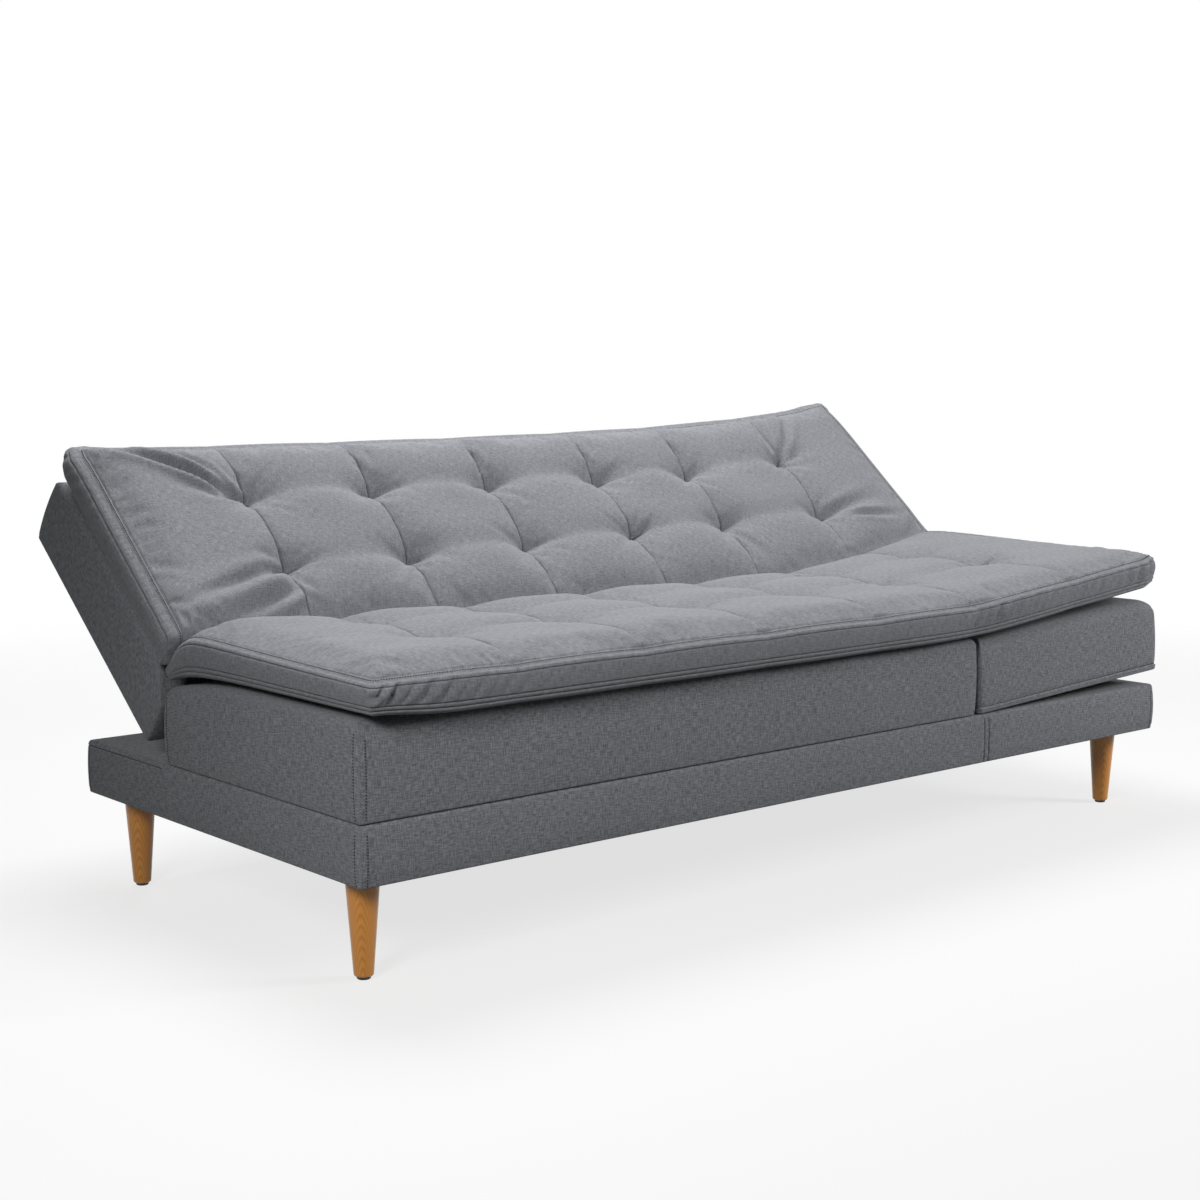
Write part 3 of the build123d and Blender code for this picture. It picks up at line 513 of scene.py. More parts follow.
def crease_field(x, y, creases):
    """Depth of the creases that run out of the tufts.

    Each crease is (x, y, direction, reach, depth, width): a groove along a ray, which starts softly,
    is deepest at a fifth of its reach and fades out, with a low ridge along both of its sides.
    """
    total = np.zeros(x.shape)
    for place_x, place_y, turn, reach, depth, width in creases:
        along = (x - place_x) * math.cos(turn) + (y - place_y) * math.sin(turn)
        aside = (y - place_y) * math.cos(turn) - (x - place_x) * math.sin(turn)
        share = np.clip(along / reach, 0, 1)
        fade = np.sin(math.pi * np.sqrt(share)).clip(0) ** 1.5
        spread = width * (0.6 + 0.9 * share)
        total += depth * fade * (bell(aside, spread) - 0.45 * bell(np.abs(aside) - 2.1 * spread, spread))
    return total


def tuft_creases(rows, seed):
    """Seeded creases out of every tuft, mostly along the row of tufts and a little aslant."""
    draw = np.random.default_rng(seed)
    creases = []
    for place_y in rows:
        for place_x in SEAMS:
            for turn in (0, 0, math.pi, math.pi):
                turn += draw.normal(0, 0.42)
                reach, depth, width = draw.uniform((0.05, 0.0015, 0.004), (0.12, 0.0042, 0.008))
                creases.append((place_x, place_y, turn, reach, depth, width))
            turn = draw.choice((-1, 1)) * draw.uniform(0.8, 1.3)
            reach, depth = draw.uniform((0.04, 0.001), (0.08, 0.0025))
            creases.append((place_x, place_y, turn, reach, depth, 0.005))
    return creases


def border_blend(height, distance, edge, covers):
    """Run a top's height out to the height of its border seam, with a stitched groove beside the seam."""
    share = np.exp(-((distance / BORDER_WIDTH) ** 1.3))
    height = height * (1 - share) + edge * share
    height -= covers.groove * bell(distance - NEAR_BORDER[UPPER_STITCH], covers.groove_width)
    seam_dip = 0.0012
    return height - seam_dip * bell(distance, seam_dip)


def outward_of(loop):
    """Level directions that point out of a closed loop of points, square to it."""
    ahead = np.roll(loop, -1, axis=0) - np.roll(loop, 1, axis=0)
    out = np.cross(ahead * (1, 1, 0), (0, 0, 1))
    return out / np.linalg.norm(out, axis=1, keepdims=True)


def way_round(loop):
    """Way from a loop's first point to each of its points."""
    return np.concatenate([[0], np.cumsum(np.linalg.norm(np.diff(loop, axis=0), axis=1))])


def puckers(around, corners, reach, pitch, seed):
    """Ripples of a sewn border: rounded ridges with sharp creases between, strong beside given places."""
    draw = np.random.default_rng(seed)
    # The ridges are unevenly spaced
    warp = 0.012 * np.sin(around * 9.0 + draw.uniform(0, 6)) + 0.005 * np.sin(around * 31.0)
    ripple = 2 * np.abs(np.sin(math.pi * (around + warp) / pitch)) ** 0.7 - 1.3
    ripple += 0.5 * np.sin(2 * math.pi * (around - warp) / (1.7 * pitch))
    strength = np.zeros(len(around))
    for corner, before, after in corners:
        weight = np.where(around < corner, before, after)
        strength += weight * np.exp(-np.abs(around - corner) / reach)
    return ripple * np.clip(0.10 + strength, 0, 1)


def held_points(x, y, border, rows, fold):
    """How firmly each point of a pad's top is held: fully at tufts, border and fold, a little at seams."""
    seam_gap = gap_to(x, SEAMS)
    tuft_width, seam_width, border_width, fold_width = 0.013, 0.006, 0.012, 0.010
    tufts = bell(np.hypot(seam_gap, gap_to(y, rows)), tuft_width)
    sewn = 0.25 * bell(seam_gap, seam_width)
    ends = np.maximum(bell(border, border_width), bell(y - fold, fold_width))
    held = np.maximum(np.maximum(tufts, sewn), ends)
    return np.where(border < 0.0005, 1, held)


def thinned(lines, sewn, gap):
    """Numbers of grid lines at least gap apart and clear of the sewn lines, with both ends."""
    clear_of_sewn = 0.003
    chosen = [0]
    for number in range(1, len(lines) - 1):
        apart = min(lines[number] - lines[chosen[-1]], lines[-1] - lines[number])
        if apart >= gap and gap_to(lines[number], sewn) > clear_of_sewn:
            chosen.append(number)
    return np.array(chosen + [len(lines) - 1])


def to_all_lines(values, chosen, lines, axis):
    """Values on a grid's chosen lines, spread evenly to all of its lines along one axis."""
    after = np.clip(np.searchsorted(chosen, np.arange(len(lines)), side="right"), 1, len(chosen) - 1)
    low, high = chosen[after - 1], chosen[after]
    share = (lines - lines[low]) / (lines[high] - lines[low])
    share = share.reshape((-1, 1, 1) if axis == 0 else (1, -1, 1))
    return np.take(values, after - 1, axis) * (1 - share) + np.take(values, after, axis) * share


def settled(top, x, y, rows, held):
    """A pad's top after a short cloth simulation, as a grid of points over grid lines x and y.

    The cloth is cut a little larger than the padding and pressed out by it, so it swells between the
    held points and wrinkles beside them. It runs on an even choice of the grid lines, and all lines
    take its moves, so sewn grooves stay as they are. No point moves further than CLOTH_CAP.
    """
    columns = thinned(x, SEAMS, CLOTH_PITCH)
    lines = thinned(y, rows, CLOTH_PITCH)
    start = top[np.ix_(columns, lines)]
    sheet = make_object("pad_cloth", start.reshape(-1, 3), grid_quads(*start.shape[:2]))
    group = sheet.vertex_groups.new(name="held")
    steps = 20
    firmness = np.round(held[np.ix_(columns, lines)].ravel() * steps).astype(int)
    for step in range(1, steps + 1):
        group.add(np.flatnonzero(firmness == step).tolist(), step / steps, "REPLACE")
    cloth = sheet.modifiers.new("Cloth", "CLOTH")
    feel = cloth.settings
    feel.quality = 4
    feel.mass = 0.3
    feel.tension_stiffness = 15
    feel.compression_stiffness = 15
    feel.shear_stiffness = 5
    feel.bending_stiffness = 0.6
    feel.use_pressure = True
    feel.uniform_pressure_force = 4
    feel.shrink_min = -CLOTH_EASE
    feel.vertex_group_mass = "held"
    feel.effector_weights.gravity = 0
    cloth.collision_settings.use_collision = False
    scene = bpy.context.scene
    for moment in range(1, CLOTH_FRAMES + 1):
        scene.frame_set(moment)
    done = sheet.evaluated_get(bpy.context.evaluated_depsgraph_get()).data
    flat = np.empty(3 * len(done.vertices), np.float32)
    done.vertices.foreach_get("co", flat)
    moved = flat.reshape(start.shape) - start
    spare = sheet.data
    bpy.data.objects.remove(sheet)
    bpy.data.meshes.remove(spare)
    scene.frame_set(1)
    far = np.linalg.norm(moved, axis=-1, keepdims=True).clip(1e-9)
    moved *= CLOTH_CAP * np.tanh(far / CLOTH_CAP) / far
    return top + to_all_lines(to_all_lines(moved, columns, x, 0), lines, y, 1)


def boxed_rings(edge, feet, out, boxed, swell, corners, depth, seed):
    """Rings of a boxed border between its upper edge and the foot below each of its points.

    The border swells between its seams in a half wave, is drawn in at the sewn lines and tucked under
    at its foot, and slanting puckers run across it beside the corners.
    """
    around = way_round(edge)
    slant, reach, pitch = 0.040, 0.11, 0.028
    sewn_share, tuck_share = 0.010, 0.10
    rings = []
    for share in BOXING:
        ripple = depth * puckers(around + slant * share, corners, reach, pitch, seed)
        stand = swell * math.sin(math.pi * share**0.75) ** 0.5
        stand -= BOXING_GROOVE * float(bell(gap_to(np.array(share), BOXING_SEWN), sewn_share))
        stand -= BOXING_TUCK * max(0, (share - 1 + tuck_share) / tuck_share) ** 1.5
        bulge = (stand + ripple * math.sin(math.pi * min(1, share / 0.75)) ** 1.2) * boxed
        rings.append(edge + (feet - edge) * share + out * bulge[:, None])
    return np.array(rings)


def stitches(name, runs, covers):
    """Thread of one or more runs of stitches.

    Each run is (points, ups): a path and the directions out of the cloth along it. A stitch is a
    six-sided spindle, thickest in the middle, laid along the path at a steady pitch.
    """
    sides, proud = 6, 0.6
    turn = np.arange(sides) * 2 * math.pi / sides
    ring = 1 + np.arange(sides)
    after = np.roll(ring, -1)
    head_faces = np.stack([np.zeros(sides, int), after, ring], axis=1)
    tail_faces = np.stack([np.full(sides, sides + 1), ring, after], axis=1)
    shape = np.concatenate([head_faces, tail_faces])
    points, triangles, first = [], [], 0
    for path, ups in runs:
        reach = way_round(path)
        starts = np.arange(covers.stitch_pitch, reach[-1] - covers.stitch_pitch, covers.stitch_pitch)
        head = spread_along(starts, reach, path)
        tail = spread_along(starts + covers.stitch_length, reach, path)
        up = spread_along(starts, reach, ups)
        up /= np.linalg.norm(up, axis=1, keepdims=True)
        aside = np.cross(tail - head, up)
        aside /= np.linalg.norm(aside, axis=1, keepdims=True)
        middle = (head + tail) / 2 + up * covers.thread_radius * proud
        around = aside[:, None] * np.cos(turn)[:, None] + up[:, None] * np.sin(turn)[:, None]
        girdle = middle[:, None] + around * covers.thread_radius
        points.append(np.concatenate([head[:, None], girdle, tail[:, None]], axis=1).reshape(-1, 3))
        numbers = first + (sides + 2) * np.arange(len(starts))
        triangles.append((numbers[:, None, None] + shape[None]).reshape(-1, 3))
        first += (sides + 2) * len(starts)
    return make_object(name, np.concatenate(points), np.concatenate(triangles))


def spread_along(places, reach, values):
    """Values at places along a path, between the values at its points."""
    return np.stack([np.interp(places, reach, values[:, axis]) for axis in range(3)], axis=1)


def run_on(loop, ups, keep):
    """The stretch of a closed loop whose points are kept, from its first to its last point."""
    start = int(np.argmax(keep & ~np.roll(keep, 1)))
    order = np.roll(np.arange(len(loop)), -start)
    order = order[keep[order]]
    return loop[order], ups[order]


def pad_stitch_runs(top, rings, out, column, row, keep, inner):
    """Runs of stitches beside the seams of a pad's border; inner are the grid lines of the upper run."""
    low, high = inner
    inside = np.clip(np.stack([column, row], axis=1), low, high)
    ups = np.broadcast_to(np.array((0.0, 0.0, 1.0)), (len(column), 3))
    runs = [run_on(top[inside[:, 0], inside[:, 1]], ups, keep)]
    sewn_rings = rings[[UPPER_STITCH, LOWER_SEAM_STITCH, LOWEST_STITCH]]
    return runs + [run_on(ring, out, keep) for ring in sewn_rings]


# Covers


# Grid of a cover: lines in from its edges and beside a seam, then the pitch between them
COVER_EDGE = np.array(
    (0, 0.0004, 0.0008, 0.0013, 0.003, 0.0055, 0.0066, 0.0075, 0.0084, 0.0096, 0.013, 0.02, 0.03)
)
COVER_SEAM = np.array((-0.004, -0.002, -0.001, 0, 0.001, 0.002, 0.004))
COVER_INSET = 0.05
COVER_PITCH = 0.022

# Rows down a cover's side: the first one, the pitch, and rows beside a seam
SIDE_START = 0.012
SIDE_PITCH = 0.011
SIDE_SEAM = np.array((-0.003, -0.0015, 0, 0.0015, 0.003))

# Unevenness of a cover's sides, stand of a welt, then the turned-in hem at its foot
SIDE_UNEVEN = 0.0007
WELT_STAND = 0.0025
HEM_HEIGHT = 0.006
HEM_DRAW = 0.0016
HEM_WIDTH = 0.020
HEM_RISE = 0.0006
CLOTH_THICKNESS = 0.0018


def cover_lines(low, high, seams=()):
    """Grid lines of a cover's top along one side: packed at both ends and seams, wider apart between."""
    middle = np.linspace(low + COVER_INSET, high - COVER_INSET, max(3, round((high - low) / COVER_PITCH)))
    lines = [low + COVER_EDGE, middle, high - COVER_EDGE] + [seam + COVER_SEAM for seam in seams]
    return np.unique(np.concatenate(lines).round(6))


def round_drop(radius, share):
    """How far a round edge has dropped at a share of its reach."""
    return radius * (1 - np.sqrt(1 - np.clip(share, 0, 1) ** 2))


def soft_cover(
    place, low, high, radii, sizes, seed,
    sag=None, seams=(), sewn_from=None, corners=(), x_seams=(), bevelled=False, welt=0,
):
    """Points, quads, UVs and stitch runs of an upholstered cover, open below.

    radii are those of the front, right, rear and left upper edges. The top is a flat grid. From its
    edge, rings turn over the rounded edge, or over a flat bevel at the front, and go down the sides,
    which swell a little. sag gives how far the top has given way at a place. seams are depths below the
    top with a sewn groove all round, or behind sewn_from only. corners are the numbers of the corners
    that are stitched, from the front left one on. x_seams are grooves down the front at these places
    along it, and welt is the height of a flat welt below.
    """
    front, right, rear, left = radii
    x = cover_lines(low[0] + left, high[0] - right, x_seams)
    y = cover_lines(low[1] + front, high[1] - rear)
    columns, rows = len(x), len(y)
    grid_x, grid_y = np.meshgrid(x, y, indexing="ij")
    sunk = sag(grid_x, grid_y) if sag else np.zeros(grid_x.shape)
    top = np.stack([grid_x, grid_y, high[2] - sunk], axis=-1)
    column, row = edge_loop(columns, rows)
    edge = top[column, row]
    sunk = sunk[column, row]
    count = len(column)
    height = high[2] - low[2]
    down = np.array((0, 0, 1.0))

    # Turn of each edge point's side from the front, run over each corner in a few small steps
    fan = 3
    corner_index = np.array([0, columns - 1, columns + rows - 2, 2 * columns + rows - 3])
    knots = np.stack([corner_index - fan, corner_index + fan], axis=1).ravel()
    knots = np.concatenate([knots, [count - fan, count + fan]])
    turns = np.array((-1, 0, 0, 1, 1, 2, 2, 3, 3, 4)) * math.pi / 2
    side = np.interp(np.arange(count), knots, turns)
    out = np.stack([np.sin(side), -np.cos(side), np.zeros(count)], axis=1)

    # Reach of the edge's round or bevel; where two unlike edges meet, the corner stays nearly square
    reach_x = np.where(out[:, 0] > 0, right, left)
    reach_y = np.where(out[:, 1] < 0, front, rear)
    alike = np.isclose(reach_x, reach_y)
    square = np.where(alike, 0.7, 0.2)
    share_x = np.abs(out[:, 0]) ** square
    share_y = np.abs(out[:, 1]) ** square
    reach = np.sign(out) * np.stack([reach_x * share_x, reach_y * share_y, 0 * side], axis=1)
    bevel = (out[:, 1] < -1e-6) & bevelled

    around = way_round(edge)
    sewn_side = edge[:, 1] > (low[1] - 1 if sewn_from is None else sewn_from)
    x_stitch = sum(bell(edge[:, 0] - x_seam, sizes.groove_width) * (row == 0) for x_seam in x_seams)
    swell = uneven(around, np.zeros(count), seed, shortest=0.15, longest=0.8)

    # Rings over the edge, down the side and round the hem
    rings = []
    turn_steps = 7
    for step in range(1, turn_steps + 1):
        stand = math.sin(step / turn_steps * math.pi / 2)
        drop_x = round_drop(reach_x, share_x * stand)
        drop_y = np.where(bevel, reach_y * share_y * stand, round_drop(reach_y, share_y * stand))
        drop = np.where(alike, round_drop(reach_x, stand), np.maximum(drop_x, drop_y))
        rings.append(edge + reach * stand - down * drop[:, None])
    radius = drop
    depths = np.linspace(SIDE_START, height, max(6, round(height / SIDE_PITCH)))
    depths = np.unique(np.concatenate([depths] + [seam + SIDE_SEAM for seam in seams]).round(5))
    for depth in depths[depths > radius.min() + 0.001]:
        share = min(1, (depth - radius.min()) / (height - radius.min()))
        level = radius + (height - sunk - radius) * share
        deep = level + sunk
        bulge = (sizes.side_crown + SIDE_UNEVEN * swell) * math.sin(math.pi * share) ** 0.8
        sewn = sewn_side * sum(bell(deep - seam, sizes.groove_width) for seam in seams)
        bulge = bulge - sizes.cover_groove * (x_stitch + sewn) + WELT_STAND * (deep > height - welt)
        rings.append(edge + reach + out * bulge[:, None] - down * level[:, None])
    lip = rings.pop() + down * HEM_HEIGHT
    for bend in np.linspace(0, math.pi / 2, 5):
        rings.append(lip - out * HEM_DRAW * (1 - math.cos(bend)) - down * HEM_HEIGHT * math.sin(bend))
    rings.append(rings[-1] - out * HEM_WIDTH + down * HEM_RISE)
    rings = np.array(rings)

    # Stitches on both sides of the corners, down the front's seams and along the level ones
    runs = []
    side_rings = rings[turn_steps:-2]
    for corner in corners:
        for way in (-1, 1):
            beside = (corner_index[corner] + way * np.arange(9)) % count
            away = np.linalg.norm(side_rings[-1, beside] - side_rings[-1, beside[0]], axis=1)
            after = int(np.searchsorted(away, sizes.stitch_offset))
            share = (sizes.stitch_offset - away[after - 1]) / (away[after] - away[after - 1])
            near, far = side_rings[:, beside[after - 1]], side_rings[:, beside[after]]
            runs.append((near + (far - near) * share, np.broadcast_to(out[beside[-1]], near.shape)))
    for x_seam in x_seams:
        index = int(np.argmin(np.abs(edge[:, 0] - x_seam) + 10 * (row != 0)))
        runs.append((side_rings[:, index], np.broadcast_to(out[index], (len(side_rings), 3))))
    for seam in seams:
        ring = side_rings[int(np.argmin(np.abs(high[2] - side_rings[:, 0, 2] - seam)))]
        runs.append(run_on(ring, out, sewn_side) if sewn_from is not None else (ring, out))
    points, quads, uv = wrapped(top, np.stack([grid_x, grid_y], axis=-1), rings)
    runs = [(place.world(path), ups @ place.axes) for path, ups in runs]
    return place.world(points), quads, uv, runs


def finish_cover(name, nodes, body, made, sizes):
    """Objects of a cover over its foam, and of its stitching, riding on a body."""
    points, quads, uv, runs = made
    piece = make_object(name, points, quads, uv)
    cloth = piece.modifiers.new("Cloth thickness", "SOLIDIFY")
    cloth.thickness = CLOTH_THICKNESS
    cloth.offset = -1
    piece.data.materials.append(finish("Linen-look polyester"))
    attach(piece, body)
    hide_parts(*nodes)
    if runs:
        sewing = stitches(name + "_stitching", runs, sizes)
        sewing.data.materials.append(finish("Polyester thread"))
        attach(sewing, body)


def finish_pad(name, surface, runs, nodes, covers):
    """Objects of a pad and of its stitching, with their shapes baked into the shared frame."""
    pad = make_object(name, *surface)
    pad.data.materials.append(finish("Linen-look topper cloth"))
    sewing = stitches(name + "_stitching", runs, covers)
    sewing.data.materials.append(finish("Polyester thread"))
    for piece in (pad, sewing):
        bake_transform(piece)
    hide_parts(*nodes)


# Materials


def set_inputs(tree, node, inputs):
    """Set a node's inputs; each is a value, or a socket to link."""
    for socket, value in inputs.items():
        if isinstance(value, bpy.types.NodeSocket):
            tree.links.new(value, node.inputs[socket])
        else:
            node.inputs[socket].default_value = value


def add_node(tree, kind, inputs=None, **settings):
    """Add a shader node with its settings and inputs. A colour mix has inputs 0, 6, 7 and output 2."""
    node = tree.nodes.new(kind)
    for setting, value in settings.items():
        setattr(node, setting, value)
    set_inputs(tree, node, inputs or {})
    return node


def new_material(name):
    """A node material, with its tree and its Principled shader."""
    material = bpy.data.materials.new(name)
    material.use_nodes = True
    tree = material.node_tree
    return material, tree, tree.nodes["Principled BSDF"]


def toned(tone, share):
    """A colour made darker or lighter, with full alpha."""
    return [min(1, share * channel) for channel in tone[:3]] + [1]


def linen_weave(name, light, dark, contrast, coordinates="UV"):
    """Heathered polyester linen, plain weave: slubs in both thread directions give a matt cross-hatch.

    Threads of such cloth lie about 0.8 mm apart. They are drawn 1.6 mm apart, to show in the render.
    """
    slub, thread = 0.012, 0.0016
    spread = 0.23 / contrast
    wear_size, wear = 0.2, 0.10
    material, tree, shader = new_material(name)
    place = add_node(tree, "ShaderNodeTexCoord").outputs[coordinates]
    fields = []
    for across, along in ((slub, thread), (thread, slub)):
        scale = (1 / across, 1 / along, 1 / thread)
        spot = add_node(tree, "ShaderNodeMapping", {"Vector": place, "Scale": scale}).outputs[0]
        grain = {"Vector": spot, "Scale": 1.0, "Detail": 1.0, "Roughness": 0.5}
        fields.append(add_node(tree, "ShaderNodeTexNoise", grain).outputs["Fac"])
    weave = add_node(tree, "ShaderNodeMath", {0: fields[0], 1: fields[1]}, operation="ADD").outputs[0]
    contrasted = {"Value": weave, "From Min": 1 - spread, "From Max": 1 + spread}
    heather = add_node(tree, "ShaderNodeMapRange", contrasted).outputs[0]
    patches = {"Vector": place, "Scale": 1 / wear_size, "Detail": 3.0}
    worn = add_node(tree, "ShaderNodeTexNoise", patches).outputs["Fac"]
    fading = {"Value": worn, "To Min": -wear, "To Max": wear}
    shade = add_node(tree, "ShaderNodeMapRange", fading).outputs[0]
    blend = add_node(tree, "ShaderNodeMath", {0: heather, 1: shade}, operation="ADD", use_clamp=True)
    yarns = {0: blend.outputs[0], 6: dark, 7: light}
    tint = add_node(tree, "ShaderNodeMix", yarns, data_type="RGBA")
    relief = {"Height": weave, "Strength": 0.35 * contrast, "Distance": 0.0012}
    bump = add_node(tree, "ShaderNodeBump", relief)
    look = {
        "Base Color": tint.outputs[2],
        "Normal": bump.outputs[0],
        "Roughness": 0.95,
        "Specular IOR Level": 0.15,
        "Sheen Weight": 0.12,
        "Sheen Roughness": 0.5,
    }
    set_inputs(tree, shader, look)
    return material


def sewing_thread(name, tone):
    """Spun polyester thread: matt, with a fine twist along each stitch."""
    material, tree, shader = new_material(name)
    place = add_node(tree, "ShaderNodeTexCoord").outputs["Object"]
    twist = add_node(tree, "ShaderNodeTexNoise", {"Vector": place, "Scale": 900.0, "Detail": 1.0})
    shades = {0: twist.outputs["Fac"], 6: toned(tone, 0.8), 7: toned(tone, 1.15)}
    tint = add_node(tree, "ShaderNodeMix", shades, data_type="RGBA")
    set_inputs(tree, shader, {"Base Color": tint.outputs[2], "Roughness": 0.8})
    return material


def lacquered_oak(name, light, dark):
    """Turned oak under honey lacquer: nested arches of grain, fine pores and a satin coat.

    The UVs are the way round the leg from its front and its height, so the arches follow the leg.
    """
    arch_bend, wander, ring_pitch = 260.0, 0.035, 0.016
    material, tree, shader = new_material(name)
    place = add_node(tree, "ShaderNodeTexCoord").outputs["UV"]
    noises = []
    for scale, detail in (((30, 9, 1), 3.0), ((1400, 60, 1), 2.0)):
        spot = add_node(tree, "ShaderNodeMapping", {"Vector": place, "Scale": scale}).outputs[0]
        noise = add_node(tree, "ShaderNodeTexNoise", {"Vector": spot, "Scale": 1.0, "Detail": detail})
        noises.append(noise.outputs["Fac"])
    drift, pores = noises
    around, height, _ = add_node(tree, "ShaderNodeSeparateXYZ", {"Vector": place}).outputs
    square = add_node(tree, "ShaderNodeMath", {0: around, 1: around}, operation="MULTIPLY").outputs[0]
    arch = add_node(tree, "ShaderNodeMath", {0: square, 1: arch_bend}, operation="MULTIPLY").outputs[0]
    rise = add_node(tree, "ShaderNodeMath", {0: height, 1: arch}, operation="ADD").outputs[0]
    bent = add_node(tree, "ShaderNodeMath", {0: drift, 1: wander, 2: rise}, operation="MULTIPLY_ADD")
    turns = {0: bent.outputs[0], 1: 2 * math.pi / ring_pitch}
    wave = add_node(tree, "ShaderNodeMath", turns, operation="MULTIPLY").outputs[0]
    rings = add_node(tree, "ShaderNodeMath", {0: wave}, operation="SINE").outputs[0]
    late = {"Value": rings, "From Min": -0.4, "From Max": 1.0}
    bands = add_node(tree, "ShaderNodeMapRange", late).outputs[0]
    flecks = add_node(tree, "ShaderNodeMath", {0: pores, 1: 0.55, 2: -0.12}, operation="MULTIPLY_ADD")
    shares = {0: bands, 1: 0.62, 2: flecks.outputs[0]}
    grain = add_node(tree, "ShaderNodeMath", shares, operation="MULTIPLY_ADD", use_clamp=True).outputs[0]
    tint = add_node(tree, "ShaderNodeMix", {0: grain, 6: light, 7: dark}, data_type="RGBA")
    bump = add_node(tree, "ShaderNodeBump", {"Height": pores, "Strength": 0.06, "Distance": 0.0003})
    look = {
        "Base Color": tint.outputs[2],
        "Normal": bump.outputs[0],
        "Roughness": 0.38,
        "Coat Weight": 0.25,
        "Coat Roughness": 0.2,
    }
    set_inputs(tree, shader, look)
    return material


def grained(name, tone, grain, contrast, roughness, metallic=0.0):
    """Stock with a grain in its tone: sawn timber, foam, webbing, dust cloth, steel, plastic.

    grain gives the size of the grain along X, Y and Z in metres.
    """
    material, tree, shader = new_material(name)
    place = add_node(tree, "ShaderNodeTexCoord").outputs["Object"]
    scale = [1 / size for size in grain]
    spot = add_node(tree, "ShaderNodeMapping", {"Vector": place, "Scale": scale}).outputs[0]
    noise = add_node(tree, "ShaderNodeTexNoise", {"Vector": spot, "Scale": 1.0, "Detail": 3.0})
    field = noise.outputs["Fac"]
    shades = {0: field, 6: toned(tone, 1 - contrast), 7: toned(tone, 1 + contrast)}
    tint = add_node(tree, "ShaderNodeMix", shades, data_type="RGBA")
    bump = add_node(tree, "ShaderNodeBump", {"Height": field, "Strength": 0.2, "Distance": 0.0005})
    look = {
        "Base Color": tint.outputs[2],
        "Normal": bump.outputs[0],
        "Roughness": roughness,
        "Metallic": metallic,
    }
    set_inputs(tree, shader, look)
    return material


MATERIALS = {}


def finish(name):
    """The shared material of that name, made when it is first asked for.

    Stock with a grain has its tone, the grain's size, its contrast, the roughness and, for metal, 1.
    """
    tones = bpy.context.scene.sofa_colours
    linen = (tones.linen_light, tones.linen_dark)
    makers = {
        "Linen-look polyester": (linen_weave, *linen, 1.0),
        "Linen-look topper cloth": (linen_weave, *linen, 0.6),
        "Linen-look rear cloth": (linen_weave, *linen, 1.0, "Object"),
        "Polyester thread": (sewing_thread, tones.thread),
        "Lacquered oak": (lacquered_oak, tones.oak_light, tones.oak_dark),
        "Sawn pine": (grained, tones.timber, (0.12, 0.004, 0.004), 0.25, 0.7),
        "Plywood": (grained, tones.timber, (0.2, 0.006, 0.01), 0.2, 0.7),
        "Polyurethane foam": (grained, tones.foam, (0.002, 0.002, 0.002), 0.12, 0.95),
        "Elastic webbing": (grained, tones.webbing, (0.02, 0.001, 0.002), 0.4, 0.9),
        "Dust cloth": (grained, tones.lining, (0.002, 0.002, 0.002), 0.5, 0.95),
        "Zinc-plated steel": (grained, tones.steel, (0.001, 0.012, 0.012), 0.08, 0.35, 1.0),
        "Moulded polypropylene": (grained, tones.plastic, (0.001, 0.001, 0.001), 0.3, 0.5),
    }
    if name not in MATERIALS:
        maker, *settings = makers[name]
        MATERIALS[name] = maker(name, *settings)
    return MATERIALS[name]


# Operators


